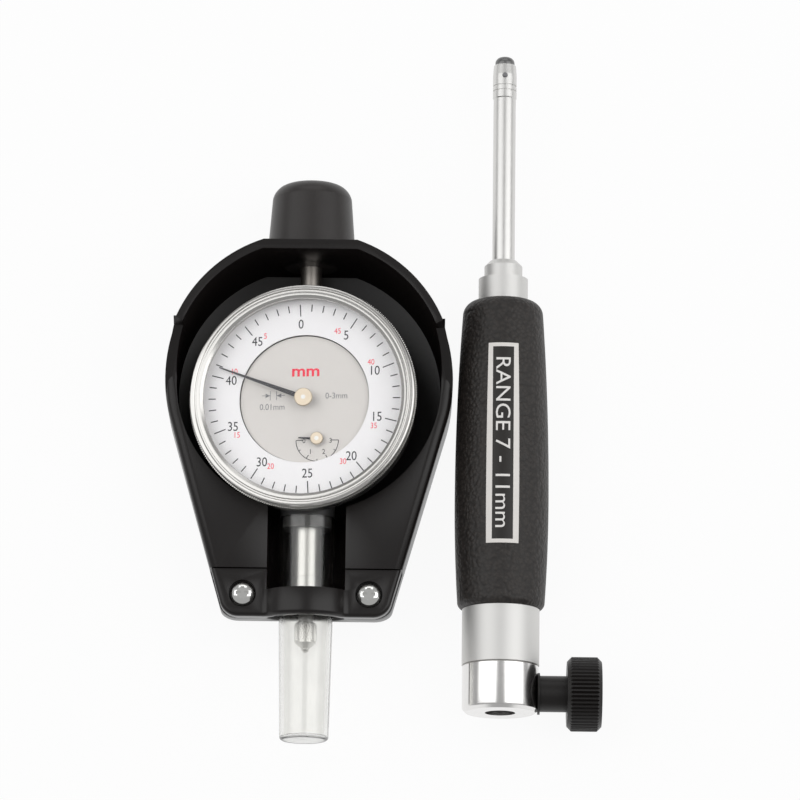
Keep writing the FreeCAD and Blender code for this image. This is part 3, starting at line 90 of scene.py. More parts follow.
def addLights(setup):
    for name in ("leftBox", "rightBox", "backBox"):
        values = setup[name]
        lamp = bpy.data.lights.new(name, "AREA")
        lamp.shape = "RECTANGLE"
        lamp.size, lamp.size_y = values["size"]
        lamp.energy = values["power"]
        item = bpy.data.objects.new(name, lamp)
        bpy.context.scene.collection.objects.link(item)
        item.location = values["place"]
        item.rotation_euler = (-Vector(values["place"])).to_track_quat("-Z", "Y").to_euler()
    world = bpy.data.worlds.new("studio")
    bpy.context.scene.world = world
    world.use_nodes = True
    tree = world.node_tree
    back = tree.nodes["Background"]
    path = tree.nodes.new("ShaderNodeLightPath")
    white = tree.nodes.new("ShaderNodeBackground")
    white.inputs["Strength"].default_value = 1.0
    mix = tree.nodes.new("ShaderNodeMixShader")
    back.inputs["Color"].default_value = (1, 1, 1, 1)
    white.inputs["Color"].default_value = (1, 1, 1, 1)
    back.inputs["Strength"].default_value = setup["worldStrength"]
    tree.links.new(path.outputs["Is Camera Ray"], mix.inputs[0])
    tree.links.new(back.outputs[0], mix.inputs[1])
    tree.links.new(white.outputs[0], mix.inputs[2])
    tree.links.new(mix.outputs[0], tree.nodes["World Output"].inputs["Surface"])


def addFloor(setup):
    reach = setup["floorReach"]
    mesh = bpy.data.meshes.new("floor")
    mesh.from_pydata([(-reach, -reach, 0), (reach, -reach, 0), (reach, reach, 0), (-reach, reach, 0)],
                     [], [(0, 1, 2, 3)])
    floor = bpy.data.objects.new("floor", mesh)
    bpy.context.scene.collection.objects.link(floor)
    material = bpy.data.materials.new("floorPaper")
    material.use_nodes = True
    tree = material.node_tree
    paper = tree.nodes["Principled BSDF"]
    paper.inputs["Base Color"].default_value = (0.9, 0.9, 0.9, 1)
    paper.inputs["Roughness"].default_value = 0.8
    glow = tree.nodes.new("ShaderNodeEmission")
    path = tree.nodes.new("ShaderNodeLightPath")
    seen = tree.nodes.new("ShaderNodeMath")
    seen.operation = "MAXIMUM"
    through = tree.nodes.new("ShaderNodeMath")
    through.operation = "MAXIMUM"
    share = tree.nodes.new("ShaderNodeMath")
    share.operation = "MULTIPLY"
    share.inputs[1].default_value = setup["floorWhite"]
    mix = tree.nodes.new("ShaderNodeMixShader")
    tree.links.new(path.outputs["Is Camera Ray"], seen.inputs[0])
    tree.links.new(path.outputs["Is Glossy Ray"], seen.inputs[1])
    tree.links.new(seen.outputs[0], through.inputs[0])
    tree.links.new(path.outputs["Is Transmission Ray"], through.inputs[1])
    tree.links.new(through.outputs[0], share.inputs[0])
    tree.links.new(share.outputs[0], mix.inputs[0])
    tree.links.new(paper.outputs[0], mix.inputs[1])
    tree.links.new(glow.outputs[0], mix.inputs[2])
    tree.links.new(mix.outputs[0], tree.nodes["Material Output"].inputs["Surface"])
    mesh.materials.append(material)


addCamera(cameraSetup)
addLights(lightSetup)
addFloor(lightSetup)
bpy.context.scene.view_settings.view_transform = "Standard"
print("camera, lights and floor placed")

# shader groups that several finishes share


def newGroup(name, ins, outs):
    group = bpy.data.node_groups.new(name, "ShaderNodeTree")
    for label, kind, value in ins:
        socket = group.interface.new_socket(label, in_out="INPUT", socket_type="NodeSocket" + kind)
        socket.default_value = value
    for label, kind in outs:
        group.interface.new_socket(label, in_out="OUTPUT", socket_type="NodeSocket" + kind)
    return group, group.nodes.new("NodeGroupInput"), group.nodes.new("NodeGroupOutput")


def mathNode(tree, operation, first, second=None):
    node = tree.nodes.new("ShaderNodeMath")
    node.operation = operation
    for socket, value in zip(node.inputs, (first, second)):
        if isinstance(value, (int, float)):
            socket.default_value = value
        elif value is not None:
            tree.links.new(value, socket)
    return node.outputs[0]


# slow variation of tone and gloss, as handling leaves on moulded and machined faces
def makeMottle():
    group, start, end = newGroup(
        "mottle",
        [("Color", "Color", (0.5, 0.5, 0.5, 1)), ("Scale", "Float", 60.0), ("Tone", "Float", 0.1),
         ("Roughness", "Float", 0.4), ("Spread", "Float", 0.1)],
        [("Color", "Color"), ("Roughness", "Float")])
    coords = group.nodes.new("ShaderNodeTexCoord")
    noise = group.nodes.new("ShaderNodeTexNoise")
    noise.inputs["Detail"].default_value = 4
    group.links.new(coords.outputs["Object"], noise.inputs["Vector"])
    group.links.new(start.outputs["Scale"], noise.inputs["Scale"])
    centred = mathNode(group, "SUBTRACT", noise.outputs["Fac"], 0.5)
    tone = mathNode(group, "ADD", mathNode(group, "MULTIPLY", centred, start.outputs["Tone"]), 1.0)
    shade = group.nodes.new("ShaderNodeVectorMath")
    shade.operation = "SCALE"
    group.links.new(start.outputs["Color"], shade.inputs[0])
    group.links.new(tone, shade.inputs["Scale"])
    rough = mathNode(group, "ADD", mathNode(group, "MULTIPLY", centred, start.outputs["Spread"]),
                  start.outputs["Roughness"])
    group.links.new(shade.outputs[0], end.inputs["Color"])
    group.links.new(rough, end.inputs["Roughness"])
    return group


# even small-scale relief: spark-eroded mould skin, cast paint and the like
def makeFineGrain():
    group, start, end = newGroup(
        "fineGrain", [("Scale", "Float", 1500.0), ("Depth", "Float", 0.00002)], [("Normal", "Vector")])
    coords = group.nodes.new("ShaderNodeTexCoord")
    noise = group.nodes.new("ShaderNodeTexNoise")
    noise.inputs["Detail"].default_value = 2
    bump = group.nodes.new("ShaderNodeBump")
    bump.inputs["Strength"].default_value = 1.0
    group.links.new(coords.outputs["Object"], noise.inputs["Vector"])
    group.links.new(start.outputs["Scale"], noise.inputs["Scale"])
    group.links.new(noise.outputs["Fac"], bump.inputs["Height"])
    group.links.new(start.outputs["Depth"], bump.inputs["Distance"])
    group.links.new(bump.outputs[0], end.inputs["Normal"])
    return group


# pebbled grain pressed into the grip
def makePebble():
    group, start, end = newGroup(
        "pebble", [("Scale", "Float", 900.0), ("Depth", "Float", 0.0002)],
        [("Height", "Float"), ("Normal", "Vector")])
    coords = group.nodes.new("ShaderNodeTexCoord")
    warp = group.nodes.new("ShaderNodeTexNoise")
    warp.inputs["Scale"].default_value = 700
    shift = group.nodes.new("ShaderNodeVectorMath")
    shift.operation = "MULTIPLY_ADD"
    shift.inputs[1].default_value = (0.0009, 0.0009, 0.0009)
    cells = group.nodes.new("ShaderNodeTexVoronoi")
    cells.feature = "SMOOTH_F1"
    cells.inputs["Smoothness"].default_value = 0.35
    bump = group.nodes.new("ShaderNodeBump")
    group.links.new(coords.outputs["Object"], warp.inputs["Vector"])
    group.links.new(warp.outputs["Color"], shift.inputs[0])
    group.links.new(coords.outputs["Object"], shift.inputs[2])
    group.links.new(shift.outputs[0], cells.inputs["Vector"])
    group.links.new(start.outputs["Scale"], cells.inputs["Scale"])
    height = mathNode(group, "SUBTRACT", 1.0, cells.outputs["Distance"])
    group.links.new(height, bump.inputs["Height"])
    group.links.new(start.outputs["Depth"], bump.inputs["Distance"])
    group.links.new(height, end.inputs["Height"])
    group.links.new(bump.outputs[0], end.inputs["Normal"])
    return group


# fine lines that a lathe leaves: Vector and Stretch pick the coordinate that they run round or along
def makeTurned():
    group, start, end = newGroup(
        "turned",
        [("Vector", "Vector", (0, 0, 0)), ("Stretch", "Vector", (1, 1, 1)), ("Scale", "Float", 1500.0),
         ("Depth", "Float", 0.00001)],
        [("Line", "Float"), ("Normal", "Vector")])
    stretch = group.nodes.new("ShaderNodeVectorMath")
    stretch.operation = "MULTIPLY"
    noise = group.nodes.new("ShaderNodeTexNoise")
    noise.inputs["Detail"].default_value = 3
    bump = group.nodes.new("ShaderNodeBump")
    group.links.new(start.outputs["Vector"], stretch.inputs[0])
    group.links.new(start.outputs["Stretch"], stretch.inputs[1])
    group.links.new(stretch.outputs[0], noise.inputs["Vector"])
    group.links.new(start.outputs["Scale"], noise.inputs["Scale"])
    group.links.new(noise.outputs["Fac"], bump.inputs["Height"])
    group.links.new(start.outputs["Depth"], bump.inputs["Distance"])
    group.links.new(noise.outputs["Fac"], end.inputs["Line"])
    group.links.new(bump.outputs[0], end.inputs["Normal"])
    return group


mottle, fineGrain, pebble, turned = makeMottle(), makeFineGrain(), makePebble(), makeTurned()

# the finishes, one for each real material


def newFinish(name, metallic=0.0, roughness=0.4, specular=0.5):
    material = bpy.data.materials.new(name)
    material.use_nodes = True
    shader = material.node_tree.nodes["Principled BSDF"]
    shader.inputs["Metallic"].default_value = metallic
    shader.inputs["Roughness"].default_value = roughness
    shader.inputs["Specular IOR Level"].default_value = specular
    return material, material.node_tree, shader


def place(tree, group, **values):
    node = tree.nodes.new("ShaderNodeGroup")
    node.node_tree = group
    for label, value in values.items():
        node.inputs[label].default_value = value
    return node


def addMottle(tree, shader, color, scale, tone, roughness, spread):
    node = place(tree, mottle, Color=(*color, 1), Scale=scale, Tone=tone, Roughness=roughness, Spread=spread)
    tree.links.new(node.outputs["Color"], shader.inputs["Base Color"])
    tree.links.new(node.outputs["Roughness"], shader.inputs["Roughness"])
    return node


def mouldedPlastic(name, color, roughness, grainDepth, specular=0.5):
    material, tree, shader = newFinish(name, specular=specular)
    addMottle(tree, shader, color, 45.0, 0.35, roughness, 0.10)
    grain = place(tree, fineGrain, Scale=2600.0, Depth=grainDepth)
    tree.links.new(grain.outputs["Normal"], shader.inputs["Normal"])
    return material


def objectVector(tree):
    return tree.nodes.new("ShaderNodeTexCoord").outputs["Object"]


# distance from an axis, as a vector that turned rings can follow
def radiusVector(tree, centre, normal):
    shift = tree.nodes.new("ShaderNodeVectorMath")
    shift.operation = "SUBTRACT"
    shift.inputs[1].default_value = centre
    tree.links.new(objectVector(tree), shift.inputs[0])
    cross = tree.nodes.new("ShaderNodeVectorMath")
    cross.operation = "CROSS_PRODUCT"
    cross.inputs[1].default_value = normal
    tree.links.new(shift.outputs[0], cross.inputs[0])
    length = tree.nodes.new("ShaderNodeVectorMath")
    length.operation = "LENGTH"
    tree.links.new(cross.outputs[0], length.inputs[0])
    join = tree.nodes.new("ShaderNodeCombineXYZ")
    tree.links.new(length.outputs["Value"], join.inputs[0])
    return join.outputs[0]


def machinedMetal(name, color, roughness, vector=None, stretch=(1, 1, 1), scale=1500.0, depth=0.00001,
                  tone=0.12, spread=0.12):
    material, tree, shader = newFinish(name, metallic=1.0)
    addMottle(tree, shader, color, 70.0, tone, roughness, spread)
    lines = place(tree, turned, Stretch=stretch, Scale=scale, Depth=depth)
    tree.links.new(vector(tree) if vector else objectVector(tree), lines.inputs["Vector"])
    tree.links.new(lines.outputs["Normal"], shader.inputs["Normal"])
    return material


def printInk(name, color):
    material, tree, shader = newFinish(name, specular=0.3)
    addMottle(tree, shader, color, 400.0, 0.25, 0.6, 0.1)
    return material


def printedFace(name, color):
    material, tree, shader = newFinish(name, specular=0.25)
    addMottle(tree, shader, color, 90.0, 0.02, 0.55, 0.08)
    grain = place(tree, fineGrain, Scale=5000.0, Depth=0.000004)
    tree.links.new(grain.outputs["Normal"], shader.inputs["Normal"])
    return material


# clear moulding that lets lamps through
def clearPlastic(name, color, roughness, ior, haze):
    material, tree, shader = newFinish(name, roughness=roughness)
    shader.inputs["Transmission Weight"].default_value = 1.0
    shader.inputs["IOR"].default_value = ior
    wisps = place(tree, mottle, Color=(*color, 1), Scale=120.0, Tone=haze, Roughness=roughness, Spread=0.04)
    tree.links.new(wisps.outputs["Color"], shader.inputs["Base Color"])
    clear = tree.nodes.new("ShaderNodeBsdfTransparent")
    clear.inputs["Color"].default_value = (*[0.5 + 0.5 * part for part in color], 1)
    path = tree.nodes.new("ShaderNodeLightPath")
    mix = tree.nodes.new("ShaderNodeMixShader")
    tree.links.new(path.outputs["Is Shadow Ray"], mix.inputs[0])
    tree.links.new(shader.outputs[0], mix.inputs[1])
    tree.links.new(clear.outputs[0], mix.inputs[2])
    tree.links.new(mix.outputs[0], tree.nodes["Material Output"].inputs["Surface"])
    return material


dialPoint = Vector(joints["bezel_turn"]["pos_m"])
dialNormal = Vector(joints["bezel_turn"]["axis"]).normalized()
smallPoint = Vector(joints["small_hand_turn"]["pos_m"])

shieldPlastic = mouldedPlastic("shieldPlastic", (0.0085, 0.0068, 0.0065), 0.3, 0.000012, specular=0.36)
capPlastic = mouldedPlastic("capPlastic", (0.03, 0.0265, 0.0255), 0.36, 0.000012, specular=0.42)
knobPlastic = mouldedPlastic("knobPlastic", (0.008, 0.0065, 0.006), 0.4, 0.00002, specular=0.36)
brightPlate = machinedMetal("brightPlate", (0.8, 0.79, 0.78), 0.2, stretch=(1, 0.05, 1), depth=0.000003,
                            tone=0.05, spread=0.06)
dustCapPlate = machinedMetal("dustCapPlate", (0.4, 0.37, 0.34), 0.42, depth=0.000003)
slitShade = machinedMetal("slitShade", (0.12, 0.11, 0.11), 0.5, depth=0.000003)
screwPlate = machinedMetal("screwPlate", (0.86, 0.86, 0.84), 0.14, depth=0.000004, tone=0.1, spread=0.1)
bezelPlate = machinedMetal("bezelPlate", (0.6, 0.59, 0.57), 0.24,
                           vector=lambda tree: radiusVector(tree, dialPoint, dialNormal),
                           scale=9000.0, depth=0.000002, tone=0.06)
satinAluminium = machinedMetal("satinAluminium", (0.72, 0.715, 0.7), 0.52, stretch=(0.03, 1, 0.03),
                               scale=6000.0, depth=0.000003, tone=0.05, spread=0.05)
groundSteel = machinedMetal("groundSteel", (0.7, 0.695, 0.68), 0.36, stretch=(0.05, 1, 0.05),
                            scale=5000.0, depth=0.000003)
carbideTip = machinedMetal("carbideTip", (0.32, 0.32, 0.33), 0.3, depth=0.000004)
darkSteel = machinedMetal("darkSteel", (0.2, 0.2, 0.2), 0.35, depth=0.000004)
turnedBrass = machinedMetal("turnedBrass", (0.83, 0.76, 0.6), 0.3, depth=0.000004)
mainHubBrass = machinedMetal("mainHubBrass", (0.66, 0.57, 0.45), 0.38,
                             vector=lambda tree: radiusVector(tree, dialPoint, dialNormal),
                             scale=9000.0, depth=0.00001)
smallHubBrass = machinedMetal("smallHubBrass", (0.66, 0.57, 0.45), 0.38,
                              vector=lambda tree: radiusVector(tree, smallPoint, dialNormal),
                              scale=9000.0, depth=0.00001)
handPaint = mouldedPlastic("handPaint", (0.05, 0.05, 0.055), 0.45, 0.000004)
castPaint = mouldedPlastic("castPaint", (0.05, 0.05, 0.05), 0.4, 0.00004)
dialWhite = printedFace("dialWhite", (0.85, 0.84, 0.85))
dialCream = printedFace("dialCream", (0.66, 0.635, 0.61))
inkBlack = printInk("inkBlack", (0.03, 0.03, 0.035))
inkRed = printInk("inkRed", (0.85, 0.06, 0.1))
inkWhite = printInk("inkWhite", (0.82, 0.8, 0.78))
inkGrey = printInk("inkGrey", (0.22, 0.22, 0.23))
guardPlastic = clearPlastic("guardPlastic", (0.9, 0.898, 0.88), 0.14, 1.42, 0.1)
crystalClear = clearPlastic("crystalClear", (0.99, 0.99, 0.99), 0.0, 1.12, 0.0)


def gripRubber():
    material, tree, shader = newFinish("gripRubber", specular=0.45)
    tone = place(tree, mottle, Color=(0.024, 0.0195, 0.017, 1), Scale=55.0, Tone=0.5, Roughness=0.5, Spread=0.12)
    grain = place(tree, pebble, Scale=950.0, Depth=0.00022)
    # painted shade and light: the base colour is darker in the hollows between pebbles and lighter on their tops
    paintedPebbleShade = tree.nodes.new("ShaderNodeMapRange")
    paintedPebbleShade.inputs["From Min"].default_value = 0.3
    paintedPebbleShade.inputs["From Max"].default_value = 0.75
    paintedPebbleShade.inputs["To Min"].default_value = 0.55
    paintedPebbleShade.inputs["To Max"].default_value = 1.1
    shade = tree.nodes.new("ShaderNodeVectorMath")
    shade.operation = "SCALE"
    tree.links.new(grain.outputs["Height"], paintedPebbleShade.inputs["Value"])
    tree.links.new(tone.outputs["Color"], shade.inputs[0])
    tree.links.new(paintedPebbleShade.outputs[0], shade.inputs["Scale"])
    tree.links.new(shade.outputs[0], shader.inputs["Base Color"])
    tree.links.new(tone.outputs["Roughness"], shader.inputs["Roughness"])
    tree.links.new(grain.outputs["Normal"], shader.inputs["Normal"])
    return material


labelSetup = {
    "borderSide": 1.6,     # mm, the white frame printed round the black field
    "borderEnd": 1.05,
    "words": "RANGE 7 - 11mm",
    "wordHeight": 3.95,
    "wordSpan": 46.8,
    "lift": 0.02,
    "cutStep": 0.35,        # between the cuts that let the letters bend
}


# black foil with a white frame, from the plate's own edges inwards
def labelFoil(setup):
    low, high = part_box("label_plate")
    material, tree, shader = newFinish("labelFoil", specular=0.4)
    axes = tree.nodes.new("ShaderNodeSeparateXYZ")
    tree.links.new(objectVector(tree), axes.inputs[0])
    inside = None
    for axis, border in ((0, setup["borderSide"]), (1, setup["borderEnd"])):
        middle = (low[axis] + high[axis]) / 2
        half = (high[axis] - low[axis]) / 2 - border * mm
        off = mathNode(tree, "ABSOLUTE", mathNode(tree, "SUBTRACT", axes.outputs[axis], middle))
        within = mathNode(tree, "LESS_THAN", off, half)
        inside = within if inside is None else mathNode(tree, "MULTIPLY", inside, within)
    field = tree.nodes.new("ShaderNodeMix")
    field.data_type = "RGBA"
    field.inputs["A"].default_value = (0.8, 0.77, 0.74, 1)
    field.inputs["B"].default_value = (0.017, 0.0145, 0.013, 1)
    tree.links.new(inside, field.inputs["Factor"])
    tone = place(tree, mottle, Scale=150.0, Tone=0.08, Roughness=0.4, Spread=0.08)
    tree.links.new(field.outputs["Result"], tone.inputs["Color"])
    tree.links.new(tone.outputs["Color"], shader.inputs["Base Color"])
    tree.links.new(tone.outputs["Roughness"], shader.inputs["Roughness"])
    return material


finishes = {
    "shield_housing": shieldPlastic, "clamp_bar": shieldPlastic, "top_cap": capPlastic,
    "clamp_screws": screwPlate, "tip_guard": guardPlastic, "case": castPaint, "back_cover": castPaint,
    "back_screws": groundSteel, "movement_plate": turnedBrass, "stem": groundSteel, "spindle": groundSteel,
    "contact_point": groundSteel, "dust_cap": dustCapPlate, "bezel": bezelPlate, "crystal": crystalClear,
    "scale_ring": dialWhite, "dial_plate": dialCream, "main_pointer": handPaint, "main_hub": mainHubBrass,
    "main_arbor": groundSteel, "small_pointer": handPaint, "small_hub": smallHubBrass,
    "small_arbor": groundSteel, "clamp_collar": brightPlate, "handle_core": satinAluminium,
    "grip": gripRubber(), "label_plate": labelFoil(labelSetup), "nose_collar": satinAluminium,
    "stem_tube": groundSteel, "measuring_head": groundSteel, "head_plug": darkSteel,
    "moving_contact": carbideTip, "fixed_anvil": carbideTip, "push_rod": groundSteel,
    "rod_guide": turnedBrass, "lock_knob": knobPlastic, "lock_screw": groundSteel, "knob_washer": knobPlastic,
}
for name, item in nodes.items():
    item.data.materials.clear()
    item.data.materials.append(finishes[name])
print("finishes made,", len(finishes), "parts painted")

# everything that lies on the dial is placed from its own axis

dialRight = Vector((0, 1, 0)).cross(dialNormal).normalized()
dialUp = dialNormal.cross(dialRight)
turnDial = Matrix((dialRight, dialUp, dialNormal)).transposed().to_4x4()


# how far a node's front face stands along the dial's axis
def faceHeight(name):
    return max((vertex.co - dialPoint).dot(dialNormal) for vertex in nodes[name].data.vertices)


# where a flat piece goes on the dial: x and y in mm from its centre, turn in degrees clockwise
def onDial(x, y, height, turn=0.0):
    centre = Matrix.Translation(dialPoint) @ turnDial @ Matrix.Translation((x * mm, y * mm, height))
    return centre @ Matrix.Rotation(math.radians(-turn), 4, "Z")


def finishPiece(mesh, name, body, material):
    mesh.materials.clear()
    mesh.materials.append(material)
    piece = bpy.data.objects.new(name, mesh)
    bpy.context.scene.collection.objects.link(piece)
    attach(piece, body)
    return piece


def joinMeshes(name, meshes):
    joined = bmesh.new()
    for mesh in meshes:
        joined.from_mesh(mesh)
    bmesh.ops.recalc_face_normals(joined, faces=joined.faces)
    result = bpy.data.meshes.new(name)
    joined.to_mesh(result)
    joined.free()
    return result


# raised lettering centred on the origin, height and span in mm
def wordMesh(words, height, thickness, squeeze=1.0, span=None, weight=0.0):
    curve = bpy.data.curves.new("words", "FONT")
    curve.body = words
    curve.size = 1.0
    curve.offset = weight
    curve.extrude = 0.01
    curve.resolution_u = 4
    item = bpy.data.objects.new("words", curve)
    bpy.context.scene.collection.objects.link(item)
    bpy.context.view_layer.update()
    mesh = bpy.data.meshes.new_from_object(item.evaluated_get(bpy.context.evaluated_depsgraph_get()))
    bpy.data.objects.remove(item)
    xs = [vertex.co.x for vertex in mesh.vertices]
    ys = [vertex.co.y for vertex in mesh.vertices]
    tall = height * mm / (max(ys) - min(ys))
    wide = span * mm / (max(xs) - min(xs)) if span else tall * squeeze
    middle = Vector(((max(xs) + min(xs)) / 2, (max(ys) + min(ys)) / 2, 0))
    mesh.transform(Matrix.Diagonal((wide, tall, thickness * mm / 0.02, 1)) @ Matrix.Translation(-middle))
    return mesh


def placed(mesh, matrix):
    mesh.transform(matrix)
    return mesh


def newTree(name, sizes):
    tree = bpy.data.node_groups.new(name, "GeometryNodeTree")
    tree.interface.new_socket("Geometry", in_out="INPUT", socket_type="NodeSocketGeometry")
    for label, kind in sizes:
        tree.interface.new_socket(label, in_out="INPUT", socket_type="NodeSocket" + kind)
    tree.interface.new_socket("Material", in_out="INPUT", socket_type="NodeSocketMaterial")
    tree.interface.new_socket("Geometry", in_out="OUTPUT", socket_type="NodeSocketGeometry")
    return tree, tree.nodes.new("NodeGroupInput"), tree.nodes.new("NodeGroupOutput")


def combine(tree, x, y, z):
    node = tree.nodes.new("ShaderNodeCombineXYZ")
    for socket, value in zip(node.inputs, (x, y, z)):
        if isinstance(value, (int, float)):
            socket.default_value = value
        else:
            tree.links.new(value, socket)
    return node.outputs[0]


# instances on points, realized and painted, as every tree here ends
def endTree(tree, start, end, points, instance, rotation, scale):
    spread = tree.nodes.new("GeometryNodeInstanceOnPoints")
    real = tree.nodes.new("GeometryNodeRealizeInstances")
    paint = tree.nodes.new("GeometryNodeSetMaterial")
    tree.links.new(points, spread.inputs["Points"])
    tree.links.new(instance, spread.inputs["Instance"])
    tree.links.new(rotation, spread.inputs["Rotation"])
    if scale is not None:
        tree.links.new(scale, spread.inputs["Scale"])
    tree.links.new(spread.outputs[0], real.inputs[0])
    tree.links.new(real.outputs[0], paint.inputs["Geometry"])
    tree.links.new(start.outputs["Material"], paint.inputs["Material"])
    tree.links.new(paint.outputs[0], end.inputs[0])


# bars round a circle: every so many is longer, and all share their outer ends
def makeTickTree():
    tree, start, end = newTree("tickRing", [
        ("Count", "Int"), ("Start", "Float"), ("Step", "Float"), ("Outer Radius", "Float"),
        ("Short", "Float"), ("Long", "Float"), ("Long Every", "Int"), ("Width", "Float"), ("Height", "Float")])
    ins = start.outputs
    index = tree.nodes.new("GeometryNodeInputIndex").outputs[0]
    angle = mathNode(tree, "ADD", ins["Start"], mathNode(tree, "MULTIPLY", index, ins["Step"]))
    isLong = mathNode(tree, "LESS_THAN", mathNode(tree, "MODULO", index, ins["Long Every"]), 0.5)
    extra = mathNode(tree, "MULTIPLY", isLong, mathNode(tree, "SUBTRACT", ins["Long"], ins["Short"]))
    length = mathNode(tree, "ADD", ins["Short"], extra)
    radius = mathNode(tree, "SUBTRACT", ins["Outer Radius"], mathNode(tree, "MULTIPLY", length, 0.5))
    points = tree.nodes.new("GeometryNodePoints")
    tree.links.new(ins["Count"], points.inputs["Count"])
    x = mathNode(tree, "MULTIPLY", radius, mathNode(tree, "SINE", angle))
    y = mathNode(tree, "MULTIPLY", radius, mathNode(tree, "COSINE", angle))
    tree.links.new(combine(tree, x, y, 0.0), points.inputs["Position"])
    bar = tree.nodes.new("GeometryNodeMeshCube")
    endTree(tree, start, end, points.outputs[0], bar.outputs[0],
            combine(tree, 0.0, 0.0, mathNode(tree, "MULTIPLY", angle, -1.0)),
            combine(tree, ins["Width"], length, ins["Height"]))
    return tree


# pointed teeth round a circle, in rows along its axis that may be staggered
def makeToothTree():
    tree, start, end = newTree("toothRing", [
        ("Round", "Int"), ("Rows", "Int"), ("Radius", "Float"), ("Tooth", "Float"), ("Pitch", "Float"),
        ("Length", "Float"), ("Stagger", "Float")])
    ins = start.outputs
    index = tree.nodes.new("GeometryNodeInputIndex").outputs[0]
    row = mathNode(tree, "FLOOR", mathNode(tree, "DIVIDE", index, ins["Round"]))
    around = mathNode(tree, "ADD", index, mathNode(tree, "MULTIPLY", row, ins["Stagger"]))
    angle = mathNode(tree, "MULTIPLY", around, mathNode(tree, "DIVIDE", math.tau, ins["Round"]))
    points = tree.nodes.new("GeometryNodePoints")
    tree.links.new(mathNode(tree, "MULTIPLY", ins["Round"], ins["Rows"]), points.inputs["Count"])
    x = mathNode(tree, "MULTIPLY", ins["Radius"], mathNode(tree, "SINE", angle))
    y = mathNode(tree, "MULTIPLY", ins["Radius"], mathNode(tree, "COSINE", angle))
    z = mathNode(tree, "MULTIPLY", row, ins["Pitch"])
    tree.links.new(combine(tree, x, y, z), points.inputs["Position"])
    tooth = tree.nodes.new("GeometryNodeMeshCylinder")
    tooth.inputs["Vertices"].default_value = 4
    tree.links.new(ins["Tooth"], tooth.inputs["Radius"])
    tree.links.new(ins["Length"], tooth.inputs["Depth"])
    endTree(tree, start, end, points.outputs[0], tooth.outputs["Mesh"],
            combine(tree, 0.0, 0.0, mathNode(tree, "MULTIPLY", angle, -1.0)), None)
    return tree


# the tree's result as a plain mesh at the origin
def runTree(tree, values, material):
    holder = bpy.data.objects.new("holder", bpy.data.meshes.new("holder"))
    bpy.context.scene.collection.objects.link(holder)
    modifier = holder.modifiers.new("tree", "NODES")
    modifier.node_group = tree
    for item in tree.interface.items_tree:
        if item.item_type == "SOCKET" and item.in_out == "INPUT":
            if item.name in values:
                modifier[item.identifier] = values[item.name]
            elif item.name == "Material":
                modifier[item.identifier] = material
    holder.data.update()
    bpy.context.view_layer.update()
    mesh = bpy.data.meshes.new_from_object(holder.evaluated_get(bpy.context.evaluated_depsgraph_get()))
    bpy.data.objects.remove(holder)
    return mesh


tickTree, toothTree = makeTickTree(), makeToothTree()

scalePrint = {
    "turn": -3.2,           # degrees, the zero mark from twelve o'clock
    "divisions": 50,
    "outerRadius": 26.0,    # mm
    "shortTick": 1.95,
    "longTick": 3.25,
    "tickWidth": 0.28,
    "figureHeight": 2.5,
    "figureRadius": 20.6,
    "redHeight": 1.55,
    "redRadius": 20.5,
    "redShift": 7.4,        # degrees from the black figure
    "squeeze": 0.86,
    "inkDepth": 0.02,
}
ringTop = faceHeight("scale_ring")
plateTop = faceHeight("dial_plate")


def makeScalePrints(setup):
    ink = setup["inkDepth"] * mm
    ticks = runTree(tickTree, {
        "Count": setup["divisions"], "Start": math.radians(setup["turn"]),
        "Step": math.tau / setup["divisions"], "Outer Radius": setup["outerRadius"] * mm,
        "Short": setup["shortTick"] * mm, "Long": setup["longTick"] * mm, "Long Every": 5,
        "Width": setup["tickWidth"] * mm, "Height": ink}, inkBlack)
    placed(ticks, onDial(0, 0, ringTop + ink / 2))
    finishPiece(ticks, "scale_ticks", "bezel_group", inkBlack)
    black, red = [], []
    for figure in range(0, setup["divisions"], 5):
        degrees = setup["turn"] + figure * 360 / setup["divisions"]
        spot = math.radians(degrees)
        radius = setup["figureRadius"]
        black.append(placed(wordMesh(str(figure), setup["figureHeight"], setup["inkDepth"], setup["squeeze"]),
                            onDial(radius * math.sin(spot), radius * math.cos(spot), ringTop + ink / 2)))
        if figure % (setup["divisions"] // 2):
            side = -1 if math.sin(2 * (spot - math.radians(setup["turn"]))) > 0 else 1
            spot += math.radians(setup["redShift"]) * side
            radius = setup["redRadius"]
            words = str(setup["divisions"] - figure)
            red.append(placed(wordMesh(words, setup["redHeight"], setup["inkDepth"], setup["squeeze"]),
                              onDial(radius * math.sin(spot), radius * math.cos(spot), ringTop + ink / 2)))
    finishPiece(joinMeshes("scale_figures", black), "scale_figures", "bezel_group", inkBlack)
    finishPiece(joinMeshes("reverse_figures", red), "reverse_figures", "bezel_group", inkRed)


# a straight bar between two points, in mm, lying flat
def barMesh(x0, y0, x1, y1, width, thickness):
    length = math.hypot(x1 - x0, y1 - y0)
    work = bmesh.new()
    bmesh.ops.create_cube(work, size=1.0)
    mesh = bpy.data.meshes.new("bar")
    work.to_mesh(mesh)
    work.free()
    turn = Matrix.Rotation(math.atan2(y1 - y0, x1 - x0), 4, "Z")
    mesh.transform(Matrix.Translation(((x0 + x1) / 2 * mm, (y0 + y1) / 2 * mm, 0)) @ turn
                   @ Matrix.Diagonal((length * mm, width * mm, thickness * mm, 1)))
    return mesh


# a flat piece of any outline, in mm
def prismMesh(corners, thickness):
    work = bmesh.new()
    face = work.faces.new([work.verts.new((x * mm, y * mm, -thickness * mm / 2)) for x, y in corners])
    grown = bmesh.ops.extrude_face_region(work, geom=[face])
    for item in grown["geom"]:
        if isinstance(item, bmesh.types.BMVert):
            item.co.z += thickness * mm
    bmesh.ops.recalc_face_normals(work, faces=work.faces)
    mesh = bpy.data.meshes.new("prism")
    work.to_mesh(mesh)
    work.free()
    return mesh


